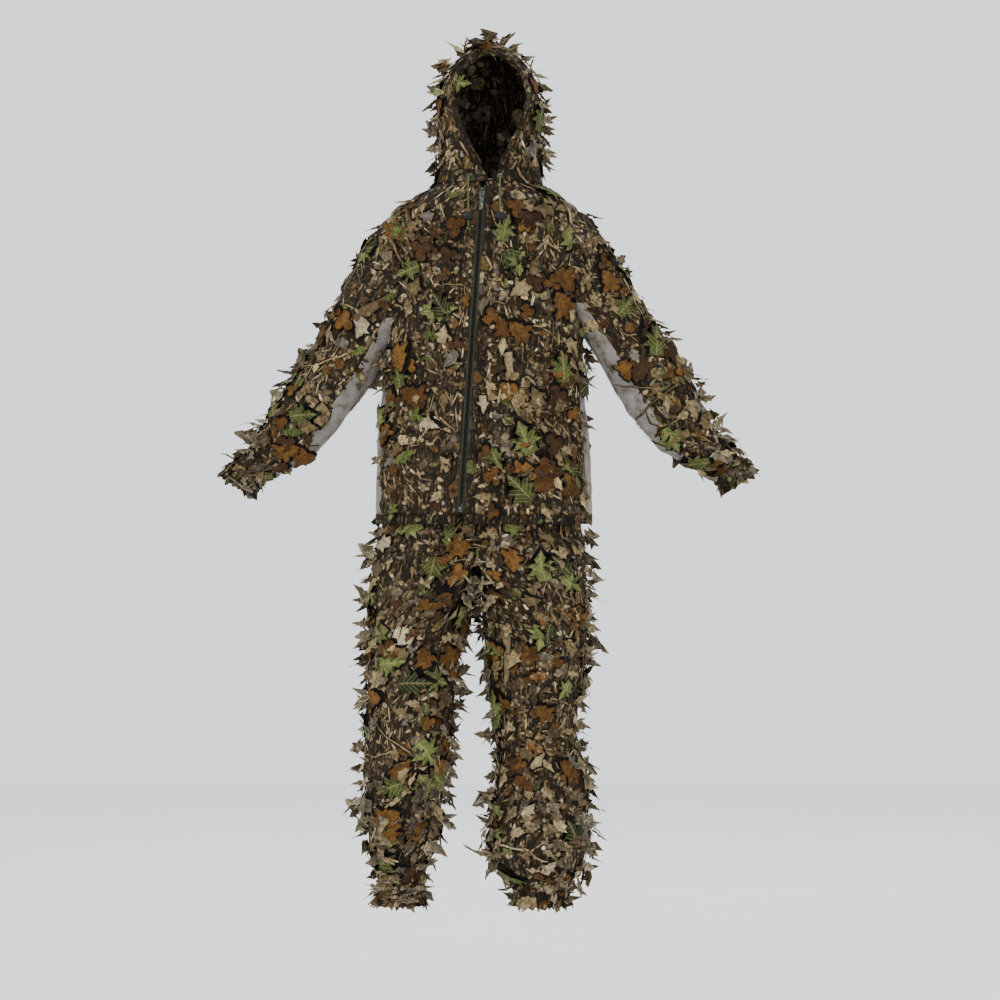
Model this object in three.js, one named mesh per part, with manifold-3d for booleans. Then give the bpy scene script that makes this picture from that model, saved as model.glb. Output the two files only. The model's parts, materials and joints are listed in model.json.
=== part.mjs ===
// Leafy camouflage suit: hooded zip jacket over loose trousers, shown as worn.
// Millimetres, +Z up, front faces -Y. The origin is the base of the neck, where the wearer holds it up.

import * as THREE from 'three';
import { mergeVertices } from 'three/addons/utils/BufferGeometryUtils.js';
import Module from 'manifold-3d';

const wasm = await Module();
wasm.setup();

// ---- Driving dimensions ------------------------------------------------------------------------

const WALL = 8;              // leafy fabric: base cloth, cut flaps and the air between them
const SEAM = 0.4;            // gap left between two pieces sewn together
const TORSO_SIDES = 20;
const SLEEVE_SIDES = 14;
const LEG_SIDES = 16;
const SQUARENESS = 2.4;      // superellipse power of the body's rings

// Rows of [height, half width, front depth, back depth, sideways shift], from the hem to the crown.
const BODY_ROWS = [
  [-632, 217, 132, 120, -2],
  [-540, 215, 127, 119, -3],
  [-420, 205, 119, 114, -3],
  [-300, 198, 112, 112, -1],
  [-180, 196, 105, 110, 0],
  [-100, 196, 101, 104, 2],
  [-55, 188, 98, 96, 4],
  [-22, 150, 96, 92, 6],
  [-2, 112, 95, 96, 7],
  [24, 104, 95, 103, 8],
  [70, 104, 100, 113, 9],
  [145, 104, 104, 120, 9],
  [205, 92, 96, 112, 9],
  [245, 66, 72, 84, 9],
  [270, 34, 40, 46, 9],
  [281, 10, 12, 14, 9],
];
const COLLAR_FOOT = 2;       // the collar stands between these two heights
const COLLAR_TOP = 25;
const NECK_CENTRE = [8, 4];  // axis that the hood turns on, with the wearer's head

// Rows of [x, height, radius] down each sleeve; rings face along the arm.
const ARM_LEAN = 34;         // degrees between a hanging sleeve and the vertical
const SLEEVE_DEPTH = 0.92;   // front-to-back radius over the radius seen from the front
const SLEEVE_ROWS = {
  right: [
    [-96, -66, 56], [-141, -108, 76], [-205, -215, 77], [-262, -324, 74], [-322, -412, 71],
    [-378, -488, 65], [-430, -534, 48], [-460, -552, 38],
  ],
  left: [
    [100, -62, 56], [142, -93, 75], [198, -186, 76], [255, -270, 73], [332, -396, 76],
    [380, -468, 66], [428, -516, 53], [474, -545, 38],
  ],
};
// Outline of the space that belongs to a sleeve, for the wearer's right; the left is its mirror.
const ARMHOLE = [[-158, 30], [-176, -150], [-205, -372], [-227, -430], [-250, -490], [-285, -690],
  [-760, -690], [-760, 30]];
const SHEER_OFFSET = 34;     // the see-through panel runs below the sleeve's middle line by this much
const SIDE_PANEL_HALF = 52;  // see-through panel down each side of the body, front to back
const SIDE_PANEL_TOP = -392;

// Rows of [height, half width, front depth, back depth, sideways shift] for the seat of the trousers.
const SEAT_ROWS = [
  [-790, 212, 112, 118, -10],
  [-730, 216, 118, 122, -9],
  [-690, 210, 117, 114, -8],
  [-652, 198, 114, 106, -7],
  [-610, 188, 106, 98, -6],
  [-560, 166, 98, 92, -5],
  [-536, 160, 94, 90, -5],
];
// Rows of [x, height, radius] down each leg; rings lie flat.
const LEG_ROWS = {
  right: [
    [-120, -700, 102], [-131, -800, 104], [-140, -932, 94], [-152, -1105, 91], [-160, -1193, 87],
    [-161, -1262, 73], [-163, -1325, 52], [-164, -1352, 46],
  ],
  left: [
    [100, -700, 104], [100, -800, 109], [97, -932, 102], [99, -1052, 84], [107, -1110, 92],
    [105, -1190, 103], [104, -1262, 109], [107, -1318, 88], [109, -1352, 54],
  ],
};
const LEG_DEPTH = 1.04;
const CROTCH_SEAM_X = -17;   // centre seam of the trousers
const SIDE_SEAM_Y = 2;       // side seams of body and legs lie in this plane

// Face opening: rows of [height, half width], closed to a point at both ends.
const FACE_FOOT = 8;
const FACE_ROWS = [[40, 23], [80, 45], [122, 63], [162, 71], [200, 64], [228, 44]];
const FACE_TOP = 250;

// Drawcord of the hood, its casing and the two locks.
const CASING_R = 6;
const CASING_STEPS = 28;
const CASING_SIDES = 6;
const CORD_R = 1.5;
const CORD_FIT = 0.8;        // space all round the cord in the casing and in the locks
const EYELET_R = 5;
const EYELET_FIT = 1.1;      // space round the cord in an eyelet
const EYELET_THICK = 1.6;
const EYELET_HEIGHT = 12;
// Route of each hanging cord, from the eyelet down to its knot.
const CORD_POINTS = {
  right: [
    [-31, -92.75, 12], [-31, -98.35, 11.5], [-31, -105.35, 7], [-31, -115.04, -4],
    [-31, -115.04, -20], [-31, -115.04, -52], [-31, -115.04, -85],
  ],
  left: [
    [29, -95.37, 12], [29, -100.97, 11.5], [29, -107.97, 7], [29, -115.4, -4],
    [29, -115.4, -20], [29, -115.4, -52], [29, -115.4, -85],
  ],
};
const KNOT_R = 4;
const LOCK_R = 8.5;
const LOCK_HALF = 9;
const LOCK_Z = -66;
const LOCK_WALL = 2.2;
const PLUNGER_R = 4.4;
const PLUNGER_PROUD = 5;     // how far the button stands out when nobody presses it
const PLUNGER_TRAVEL = 4;
const PLUNGER_FIT = 0.3;
const SPRING_PRESSED = 5;    // length left for the spring when the button is pressed home

// Zip, from its foot at the hem to its top under the chin.
const ZIP_FOOT = [-46, -628];
const ZIP_HEAD = [-4, -6];
const ZIP_PROUD = 2.2;       // its middle stands this far in front of the fronts at both ends
const TAPE_WIDTH = 13;
const TAPE_THICK = 1.2;
const TEETH_WIDTH = 2.6;
const TEETH_THICK = 2.2;
const TEETH_GAP = 0.4;
const TEETH_FOOT = 16;       // the teeth start above the box at the foot
const TEETH_HEAD = 9;        // and stop below the top stops
const STOP_LENGTH = 4;
const SLIDER_LENGTH = 15;
const SLIDER_RIM = 1.9;      // slider to each side of the channel that the teeth run in
const SLIDER_PLATE = 1.6;
const SLIDER_FIT = 0.5;
const BRIDGE_R = 5;
const BRIDGE_WIRE = 1.1;
const BRIDGE_SINK = 0.6;     // the arch's feet run this far into the slider's front plate
const PULL_LENGTH = 30;
const PULL_HALF = 3.8;
const PULL_THICK = 1.6;
const PULL_FIT = 0.5;
const BOX_LENGTH = 11;
const BOX_THICK = 4.8;

// Elastic ends and hems.
const HEM_HEIGHT = 18;
const WAIST_HEIGHT = 34;
const CUFF_HEIGHT = 20;
const ELASTIC_THICK = 2;
const ELASTIC_MARGIN = 3;    // casing left above and below an elastic
const WRIST_FLARE = 2;       // a wrist band is this much wider in radius than the sleeve's end
const BAND_GAP = 0.8;        // between a sleeve or leg and its band

// ---- Solids --------------------------------------------------------------------------------------

// Turns a closed three.js geometry into a solid that can be cut and joined.
function solid(geometry) {
  const bare = new THREE.BufferGeometry();
  bare.setAttribute('position', geometry.getAttribute('position').clone());
  if (geometry.index) bare.setIndex(geometry.index.clone());
  const merged = mergeVertices(bare, 1e-4);
  return new wasm.Manifold(new wasm.Mesh({
    numProp: 3,
    vertProperties: new Float32Array(merged.getAttribute('position').array),
    triVerts: new Uint32Array(merged.index.array),
  }));
}

// Gives a solid back as a geometry.
function shape(manifold) {
  const mesh = manifold.getMesh();
  const geometry = new THREE.BufferGeometry();
  geometry.setAttribute('position', new THREE.BufferAttribute(mesh.vertProperties, 3));
  geometry.setIndex(new THREE.BufferAttribute(mesh.triVerts, 1));
  geometry.computeVertexNormals();
  return geometry;
}

// Closed skin through rings that all hold the same number of points, with a fan over each end.
function loft(rings) {
  const count = rings[0].length;
  const points = rings.flat();
  const first = points.length;
  for (const ring of [rings[0], rings.at(-1)]) {
    const middle = ring.reduce((sum, p) => sum.add(p), new THREE.Vector3());
    points.push(middle.divideScalar(count));
  }
  const faces = [];
  for (let j = 0; j < count; j += 1) {
    const next = (j + 1) % count;
    for (let i = 0; i + 1 < rings.length; i += 1) {
      const low = i * count;
      const high = low + count;
      faces.push(low + j, low + next, high + next, low + j, high + next, high + j);
    }
    const top = (rings.length - 1) * count;
    faces.push(first, next, j, first + 1, top + j, top + next);
  }
  const geometry = new THREE.BufferGeometry().setFromPoints(points);
  geometry.setIndex(faces);
  return signedVolume(points, faces) < 0 ? solid(flipped(geometry)) : solid(geometry);
}

function signedVolume(points, faces) {
  let sum = 0;
  for (let i = 0; i < faces.length; i += 3) {
    const [a, b, c] = [points[faces[i]], points[faces[i + 1]], points[faces[i + 2]]];
    sum += a.dot(new THREE.Vector3().crossVectors(b, c));
  }
  return sum / 6;
}

function flipped(geometry) {
  const index = geometry.index.array;
  for (let i = 0; i < index.length; i += 3) {
    [index[i + 1], index[i + 2]] = [index[i + 2], index[i + 1]];
  }
  return geometry;
}

// Superellipse ring at one height, with its own depth in front and behind.
function bodyRing([height, half, front, back, shift], inset, sides) {
  const power = 2 / SQUARENESS;
  return Array.from({ length: sides }, (_, j) => {
    const turn = (j / sides) * 2 * Math.PI;
    const across = Math.sign(Math.cos(turn)) * Math.abs(Math.cos(turn)) ** power;
    const along = Math.sign(Math.sin(turn)) * Math.abs(Math.sin(turn)) ** power;
    const depth = along < 0 ? front : back;
    return new THREE.Vector3(shift + (half - inset) * across, (depth - inset) * along, height);
  });
}

// Round ring of a tube whose axis lies in the X-Z plane, leaning outward by `lean` degrees.
function tubeRing([x, height, radius], inset, lean, depth, sides) {
  const tilt = THREE.MathUtils.degToRad(lean);
  return Array.from({ length: sides }, (_, j) => {
    const turn = (j / sides) * 2 * Math.PI;
    const across = (radius - inset) * Math.cos(turn);
    const along = (radius * depth - inset) * Math.sin(turn);
    return new THREE.Vector3(x + across * Math.cos(tilt), along, height + across * Math.sin(tilt));
  });
}

// Moves the first and last ring of a list outward, so a cutting tool runs past both ends.
function stretched(rings, reach) {
  const out = rings.map((ring) => ring.map((p) => p.clone()));
  const shift = (end, beside) => {
    const step = new THREE.Vector3().subVectors(end[0], beside[0]).setY(0).setLength(reach);
    end.forEach((p) => p.add(step));
  };
  shift(out[0], rings[1]);
  shift(out.at(-1), rings.at(-2));
  return out;
}

function box(low, high) {
  const size = high.map((value, i) => value - low[i]);
  const geometry = new THREE.BoxGeometry(...size);
  geometry.translate(...high.map((value, i) => (value + low[i]) / 2));
  return solid(geometry);
}

// Outline in X and Z, carried through Y from front to back.
function slab(outline, front, back) {
  const flat = new THREE.Shape(outline.map(([x, z]) => new THREE.Vector2(x, z)));
  const geometry = new THREE.ExtrudeGeometry(flat, { depth: back - front, bevelEnabled: false });
  geometry.rotateX(Math.PI / 2);
  geometry.translate(0, back, 0);
  return solid(geometry);
}

function cylinder(radius, length, sides = 20) {
  return new THREE.CylinderGeometry(radius, radius, length, sides);
}

// Round section with an optional bore, carried along a curve.
function tube(curve, radius, steps, sides, bore = 0) {
  const ring = (r) => Array.from({ length: sides }, (_, j) => {
    const turn = (j / sides) * 2 * Math.PI;
    return new THREE.Vector2(r * Math.cos(turn), r * Math.sin(turn));
  });
  const section = new THREE.Shape(ring(radius));
  if (bore > 0) section.holes.push(new THREE.Path(ring(bore)));
  return new THREE.ExtrudeGeometry(section, { steps, bevelEnabled: false, extrudePath: curve });
}

// Band round a body ring, with a groove inside that holds an elastic, and the elastic itself.
function elasticBand(ringAt, low, high) {
  const groove = ELASTIC_THICK + SEAM;
  const pair = (inset, from, to) => loft([ringAt(inset, from), ringAt(inset, to)]);
  const past = 4;
  const inner = WALL - ELASTIC_THICK;
  const casing = pair(0, low, high)
    .subtract(pair(WALL, low - past, high + past))
    .subtract(pair(inner - groove, low + ELASTIC_MARGIN, high - ELASTIC_MARGIN)
      .subtract(pair(inner + 2 * past, low, high)));
  const from = low + ELASTIC_MARGIN + SEAM;
  const to = high - ELASTIC_MARGIN - SEAM;
  const band = pair(inner - groove + SEAM, from, to).subtract(pair(inner - SEAM, from - past, to + past));
  return { casing, band };
}

// ---- Looks and the scene graph -------------------------------------------------------------------

const FINISH = {
  leafy: { color: 0x57492f, roughness: 0.92, metalness: 0 },
  sheer: { color: 0x9a9184, roughness: 0.85, metalness: 0 },
  elastic: { color: 0x2e2a22, roughness: 0.9, metalness: 0 },
  cord: { color: 0x3f4a22, roughness: 0.8, metalness: 0 },
  plastic: { color: 0x141216, roughness: 0.45, metalness: 0 },
  tape: { color: 0x5a5a4c, roughness: 0.85, metalness: 0 },
  metal: { color: 0x4a4a44, roughness: 0.4, metalness: 0.9 },
};

const suit = new THREE.Group();

function add(name, finish, geometry, parent = suit) {
  const mesh = new THREE.Mesh(geometry, new THREE.MeshStandardMaterial(FINISH[finish]));
  mesh.name = name;
  parent.add(mesh);
  return mesh;
}

const SIDES = ['right', 'left'];
const outward = (side) => (side === 'right' ? -1 : 1);
const FAR = 900;

// ---- Jacket --------------------------------------------------------------------------------------

// Height and half width of the face opening become a spline from its foot over the top and back.
function faceOutline(margin) {
  const sideRows = [...FACE_ROWS, ...[...FACE_ROWS].reverse()];
  const middle = NECK_CENTRE[0] + 3;
  const points = sideRows.map(([z, half], i) => {
    const sign = i < FACE_ROWS.length ? -1 : 1;
    return new THREE.Vector2(middle + sign * (half + margin), z);
  });
  points.splice(FACE_ROWS.length, 0, new THREE.Vector2(middle, FACE_TOP + margin));
  points.unshift(new THREE.Vector2(middle - 4, FACE_FOOT - margin));
  points.push(new THREE.Vector2(middle + 4, FACE_FOOT - margin));
  return new THREE.SplineCurve(points);
}

// Depth of the body's front or back face at a place given by x and height.
function frontAt(x, z) {
  const upper = BODY_ROWS.findIndex((row) => row[0] >= z);
  const top = Math.max(1, upper);
  const [low, high] = [BODY_ROWS[top - 1], BODY_ROWS[top]];
  const share = (z - low[0]) / (high[0] - low[0]);
  const [half, front, shift] = [1, 2, 4].map((k) => low[k] + (high[k] - low[k]) * share);
  const across = Math.min(1, Math.abs((x - shift) / half));
  return -front * (1 - across ** SQUARENESS) ** (1 / SQUARENESS);
}

const bodyRings = (inset) => BODY_ROWS.map((row) => bodyRing(row, inset, TORSO_SIDES));
const sleeveRings = (side, inset) => SLEEVE_ROWS[side].map((row) => (
  tubeRing(row, inset, outward(side) * ARM_LEAN, SLEEVE_DEPTH, SLEEVE_SIDES)));

// Rings inside the wall: the same body, one wall smaller, open at the hem and lower at the crown.
function bodyHollow() {
  const rows = BODY_ROWS.map((row) => [...row]);
  rows[0][0] -= WALL;
  rows.pop();
  return loft(rows.map((row) => bodyRing(row, WALL, TORSO_SIDES)));
}

function zipAxis() {
  const place = ([x, z]) => new THREE.Vector3(x, frontAt(x, z) - ZIP_PROUD, z);
  const foot = place(ZIP_FOOT);
  const head = place(ZIP_HEAD);
  return { foot, head, length: foot.distanceTo(head), along: head.clone().sub(foot).normalize() };
}

// Group whose Z runs up the zip and whose -Y faces out of the chest.
function zipFrame(place) {
  const { along } = zipAxis();
  const out = new THREE.Vector3(0, -1, 0);
  const side = new THREE.Vector3().crossVectors(along, out).normalize();
  const face = new THREE.Vector3().crossVectors(along, side).normalize();
  const group = new THREE.Group();
  const basis = new THREE.Matrix4().makeBasis(side, face, along);
  group.quaternion.setFromRotationMatrix(basis);
  group.position.copy(place);
  group.updateMatrixWorld();
  return group;
}

// Room that the zip's tapes take out of the fronts, collar and hem.
function zipRoom() {
  const { foot, length } = zipAxis();
  const frame = zipFrame(foot);
  const half = TAPE_WIDTH + TEETH_GAP + SEAM;
  const geometry = new THREE.BoxGeometry(2 * half, 60, length + 80);
  geometry.translate(0, 0, length / 2 - 36);
  geometry.applyMatrix4(frame.matrixWorld);
  return solid(geometry);
}

const casingCurve = (() => {
  const outline = faceOutline(0);
  const flat = outline.getSpacedPoints(CASING_STEPS);
  const kept = flat.filter((p) => p.y > COLLAR_TOP + CASING_R + 3);
  return new THREE.CatmullRomCurve3(kept.map((p) => new THREE.Vector3(p.x, frontAt(p.x, p.y), p.y)));
})();

function buildJacket() {
  let outer = loft(bodyRings(0));
  let hollow = bodyHollow();
  for (const side of SIDES) {
    outer = outer.add(loft(sleeveRings(side, 0)));
    hollow = hollow.add(loft(stretched(sleeveRings(side, WALL), 6)));
  }
  const facePoints = faceOutline(0).getSpacedPoints(CASING_STEPS).map((p) => [p.x, p.y]);
  const shell = outer.subtract(hollow)
    .subtract(slab(facePoints, -FAR, 0))
    .subtract(solid(tube(casingCurve, CASING_R + SEAM, CASING_STEPS, 10)))
    .subtract(zipRoom());

  const torso = cutSleeves(shell);
  const collar = torso.intersect(box([-FAR, -FAR, COLLAR_FOOT], [FAR, FAR, COLLAR_TOP - SEAM]));
  const below = torso.intersect(box([-FAR, -FAR, -FAR], [FAR, FAR, COLLAR_FOOT - SEAM]));
  const above = torso.intersect(box([-FAR, -FAR, COLLAR_TOP], [FAR, FAR, FAR]));
  const eyelets = SIDES.map((side) => solid(eyelet(side, EYELET_R + SEAM, 0, 4 * WALL)));
  add('collar', 'leafy', shape(collar.subtract(eyelets[0]).subtract(eyelets[1])));

  let body = below;
  for (const side of SIDES) {
    const x = outward(side) * FAR;
    const near = outward(side) * 150;
    const low = [Math.min(x, near), SIDE_SEAM_Y - SIDE_PANEL_HALF, -FAR];
    const high = [Math.max(x, near), SIDE_SEAM_Y + SIDE_PANEL_HALF, SIDE_PANEL_TOP];
    add(`side_panel_${side}`, 'sheer', shape(body.intersect(box(low, high))));
    const room = box([low[0], low[1] - SEAM, low[2]], [high[0], high[1] + SEAM, high[2] + SEAM]);
    body = body.subtract(room);
  }
  add('back_panel', 'leafy', shape(body.intersect(box([-FAR, SIDE_SEAM_Y + SEAM, -FAR], [FAR, FAR, FAR]))));
  const front = body.intersect(box([-FAR, -FAR, -FAR], [FAR, SIDE_SEAM_Y, FAR]));
  const lean = (ZIP_HEAD[0] - ZIP_FOOT[0]) / (ZIP_HEAD[1] - ZIP_FOOT[1]);
  const zipLine = (z) => ZIP_FOOT[0] + (z - ZIP_FOOT[1]) * lean;
  for (const side of SIDES) {
    const x = outward(side) * FAR;
    const half = slab([[zipLine(-FAR), -FAR], [x, -FAR], [x, FAR], [zipLine(FAR), FAR]], -FAR, FAR);
    add(`front_${side}`, 'leafy', shape(front.intersect(half)));
    const hoodHalf = side === 'right' ? box([-FAR, -FAR, 0], [NECK_CENTRE[0], FAR, FAR])
      : box([NECK_CENTRE[0] + SEAM, -FAR, 0], [FAR, FAR, FAR]);
    add(`hood_${side}`, 'leafy', shape(above.intersect(hoodHalf)));
  }
}

// Takes both sleeves off the jacket's shell and adds them, in an upper and a see-through under part.
function cutSleeves(shell) {
  let torso = shell;
  for (const side of SIDES) {
    const mirror = ([x, z]) => [-outward(side) * x, z];
    const room = slab(ARMHOLE.map(mirror), -FAR, FAR);
    const grown = slab(ARMHOLE.map(([x, z]) => mirror([x + (x > -500 ? SEAM : 0), z])), -FAR, FAR);
    const sleeve = shell.intersect(room);
    torso = torso.subtract(grown);
    const rows = SLEEVE_ROWS[side];
    const tilt = THREE.MathUtils.degToRad(ARM_LEAN);
    const drop = (offset) => rows.slice(2).map(([x, z]) => [
      x - outward(side) * offset * Math.cos(tilt), z - offset * Math.sin(tilt)]);
    const reach = (line) => {
      const [a, b] = [line[0], line[1]];
      const [c, d] = [line.at(-2), line.at(-1)];
      return [[a[0] - (b[0] - a[0]) * 2, a[1] - (b[1] - a[1]) * 2], ...line,
        [d[0] + (d[0] - c[0]) * 4, d[1] + (d[1] - c[1]) * 4]];
    };
    const under = (offset) => {
      const line = reach(drop(offset));
      return slab([...line, [line.at(-1)[0], -FAR], [0, -FAR], [0, line[0][1]]], -FAR, FAR);
    };
    add(`sleeve_${side}`, 'leafy', shape(sleeve.subtract(under(SHEER_OFFSET - SEAM))));
    add(`sleeve_under_${side}`, 'sheer', shape(sleeve.intersect(under(SHEER_OFFSET))));
    addWrist(side);
  }
  return torso;
}

// Round elastic end of a sleeve or a leg, in its own group along the limb.
function addElasticEnd(name, place, lean, radius) {
  const group = new THREE.Group();
  group.position.set(...place);
  group.rotation.y = -THREE.MathUtils.degToRad(lean);
  suit.add(group);
  const ringAt = (inset, z) => tubeRing([0, z, radius], inset, 0, 1, SLEEVE_SIDES);
  const { casing, band } = elasticBand(ringAt, -CUFF_HEIGHT, 0);
  add(`${name}_cuff`, 'leafy', shape(casing), group);
  add(`${name}_elastic`, 'elastic', shape(band), group);
}

function addWrist(side) {
  const [x, z, radius] = SLEEVE_ROWS[side].at(-1);
  const tilt = THREE.MathUtils.degToRad(ARM_LEAN);
  const place = [x + outward(side) * BAND_GAP * Math.sin(tilt), 0, z - BAND_GAP * Math.cos(tilt)];
  addElasticEnd(`wrist_${side}`, place, outward(side) * ARM_LEAN, radius + WRIST_FLARE);
}

function buildHem() {
  const row = BODY_ROWS[0];
  const top = row[0] - SEAM;
  const rings = (inset, low, high) => [low, high].map((z) => (
    bodyRing([z, ...row.slice(1)], inset, TORSO_SIDES)));
  const inside = loft(rings(WALL, top - 2 * HEM_HEIGHT, top + HEM_HEIGHT));
  const ring = loft(rings(0, top - HEM_HEIGHT, top)).subtract(inside);
  add('jacket_hem', 'leafy', shape(ring.subtract(zipRoom())));
}

// ---- Hood drawcord and locks -----------------------------------------------------------------------

// Round piece through the collar's face beside the throat, along Y.
function eyelet(side, radius, bore, thick) {
  const x = CORD_POINTS[side][0][0];
  const outside = frontAt(x, EYELET_HEIGHT);
  const geometry = bore > 0
    ? new THREE.LatheGeometry([
      new THREE.Vector2(bore, -thick), new THREE.Vector2(radius, -thick), new THREE.Vector2(radius, 0),
      new THREE.Vector2(bore, 0), new THREE.Vector2(bore, -thick)], 16)
    : cylinder(radius, thick, 16);
  if (bore > 0) geometry.translate(0, thick / 2, 0);
  geometry.translate(x, outside, EYELET_HEIGHT);
  return geometry;
}

function buildDrawcord() {
  add('hood_casing', 'leafy', tube(casingCurve, CASING_R, CASING_STEPS, CASING_SIDES, CORD_R + CORD_FIT));
  add('hood_drawcord', 'cord', tube(casingCurve, CORD_R, CASING_STEPS, 6));
  for (const side of SIDES) {
    add(`eyelet_${side}`, 'metal', eyelet(side, EYELET_R, CORD_R + EYELET_FIT, EYELET_THICK));
    const points = CORD_POINTS[side].map((p) => new THREE.Vector3(...p));
    const curve = new THREE.CatmullRomCurve3(points);
    add(`drawcord_end_${side}`, 'cord', tube(curve, CORD_R, 24, 8));
    const knot = new THREE.SphereGeometry(KNOT_R, 12, 8);
    const foot = points.at(-1);
    knot.translate(foot.x, foot.y, foot.z - KNOT_R - SEAM);
    add(`cord_knot_${side}`, 'cord', knot);
    addLock(side, foot);
  }
}

// Spring lock: a barrel across the cord, a button that slides in it, and the spring behind.
function addLock(side, foot) {
  const group = new THREE.Group();
  group.position.set(foot.x, foot.y, LOCK_Z);
  group.rotation.y = outward(side) * Math.PI / 2;
  suit.add(group);
  const round = [[0, -LOCK_HALF], [LOCK_R * 0.62, -LOCK_HALF], [LOCK_R * 0.93, -LOCK_HALF * 0.6],
    [LOCK_R, 0], [LOCK_R * 0.93, LOCK_HALF * 0.6], [LOCK_R * 0.78, LOCK_HALF], [0, LOCK_HALF]];
  const barrel = new THREE.LatheGeometry(round.map(([r, z]) => new THREE.Vector2(r, z)), 20);
  barrel.rotateX(Math.PI / 2);
  const along = (geometry, from, to) => {
    geometry.rotateX(Math.PI / 2);
    geometry.translate(0, 0, (from + to) / 2);
    return solid(geometry);
  };
  const floor = -LOCK_HALF + LOCK_WALL;
  const well = along(cylinder(PLUNGER_R + PLUNGER_FIT, LOCK_HALF + 5 - floor), floor, LOCK_HALF + 5);
  const crossHole = (slack) => {
    const radius = CORD_R + CORD_FIT;
    const far = LOCK_R + 2;
    return box([-far, -radius, -radius - slack], [far, radius, radius + slack]);
  };
  add(`lock_${side}`, 'plastic', shape(solid(barrel).subtract(well).subtract(crossHole(0))), group);

  const inner = floor + SPRING_PRESSED + PLUNGER_TRAVEL;
  const head = LOCK_HALF + PLUNGER_PROUD;
  const button = along(cylinder(PLUNGER_R, head - inner), inner, head);
  add(`lock_button_${side}`, 'plastic', shape(button.subtract(crossHole(PLUNGER_TRAVEL))), group);
  addSpring(side, floor + SEAM, group);
}

// Coil spring, drawn at its pressed length so that the button's travel stays free.
function addSpring(side, from, group) {
  const wire = 0.4;
  const radius = PLUNGER_R - 1.2;
  const length = SPRING_PRESSED - 2 * SEAM - 2 * wire;
  const turns = 3;
  const steps = turns * 12;
  const points = Array.from({ length: steps + 1 }, (_, i) => {
    const turn = (i / steps) * turns * 2 * Math.PI;
    const height = from + wire + (i / steps) * length;
    return new THREE.Vector3(radius * Math.cos(turn), radius * Math.sin(turn), height);
  });
  add(`lock_spring_${side}`, 'metal', tube(new THREE.CatmullRomCurve3(points), wire, steps, 5), group);
}

// ---- Zip -------------------------------------------------------------------------------------------

function buildZip() {
  const { foot, head, length, along } = zipAxis();
  const frame = zipFrame(foot);
  suit.add(frame);
  const bar = (x0, x1, y0, y1, z0, z1) => shape(box([x0, y0, z0], [x1, y1, z1]));
  const halfTeeth = TEETH_THICK / 2;
  const teethTop = length - TEETH_HEAD;
  for (const side of SIDES) {
    const out = outward(side);
    const span = (near, far) => [Math.min(out * near, out * far), Math.max(out * near, out * far)];
    const tapeIn = TEETH_GAP / 2 + TEETH_WIDTH + SEAM;
    const tape = bar(...span(tapeIn, TAPE_WIDTH), -TAPE_THICK / 2, TAPE_THICK / 2, 0, length);
    add(`zip_tape_${side}`, 'tape', tape, frame);
    const teeth = span(TEETH_GAP / 2, TEETH_GAP / 2 + TEETH_WIDTH);
    add(`zip_teeth_${side}`, 'tape', bar(...teeth, -halfTeeth, halfTeeth, TEETH_FOOT, teethTop), frame);
    const stop = [teethTop + SEAM, teethTop + SEAM + STOP_LENGTH];
    add(`zip_top_stop_${side}`, 'metal', bar(...teeth, -halfTeeth, halfTeeth, ...stop), frame);
  }
  const half = TEETH_GAP / 2 + TEETH_WIDTH;
  const halfBox = BOX_THICK / 2;
  add('zip_box', 'metal', bar(-half, -TEETH_GAP / 2, -halfBox, halfBox, 1, BOX_LENGTH), frame);
  add('zip_pin', 'metal', bar(TEETH_GAP / 2, half, -halfTeeth, halfTeeth, 1, TEETH_FOOT - SEAM), frame);

  const slide = zipFrame(head.clone().addScaledVector(along, -TEETH_HEAD - SLIDER_LENGTH / 2 - 2));
  suit.add(slide);
  const room = TEETH_THICK / 2 + SLIDER_FIT;
  const reach = room + SLIDER_PLATE;
  const z = SLIDER_LENGTH / 2;
  const channel = half + SLIDER_FIT;
  const tapeRoom = TAPE_THICK / 2 + SLIDER_FIT;
  const rim = channel + SLIDER_RIM;
  const body = box([-rim, -reach, -z], [rim, reach, z])
    .subtract(box([-channel, -room, -z - 1], [channel, room, z + 1]))
    .subtract(box([-rim - 1, -tapeRoom, -z - 1], [rim + 1, tapeRoom, z + 1]));
  // A thin post at the top joins the two plates between the rows of teeth.
  const wedge = box([-TEETH_GAP / 4, -reach + 0.1, z - 1], [TEETH_GAP / 4, reach - 0.1, z]);
  add('zip_slider', 'metal', shape(body.add(wedge).add(bridge(reach))), slide);
  addPull(slide, reach);
}

// Arch on the slider's front plate that the pull hangs from; it stands in the Y-Z plane.
function bridge(face) {
  const points = Array.from({ length: 9 }, (_, i) => {
    const turn = (i / 8) * Math.PI;
    return new THREE.Vector3(0, -face + BRIDGE_SINK - BRIDGE_R * Math.sin(turn), BRIDGE_R * Math.cos(turn));
  });
  return solid(tube(new THREE.CatmullRomCurve3(points), BRIDGE_WIRE, 8, 6));
}

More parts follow.
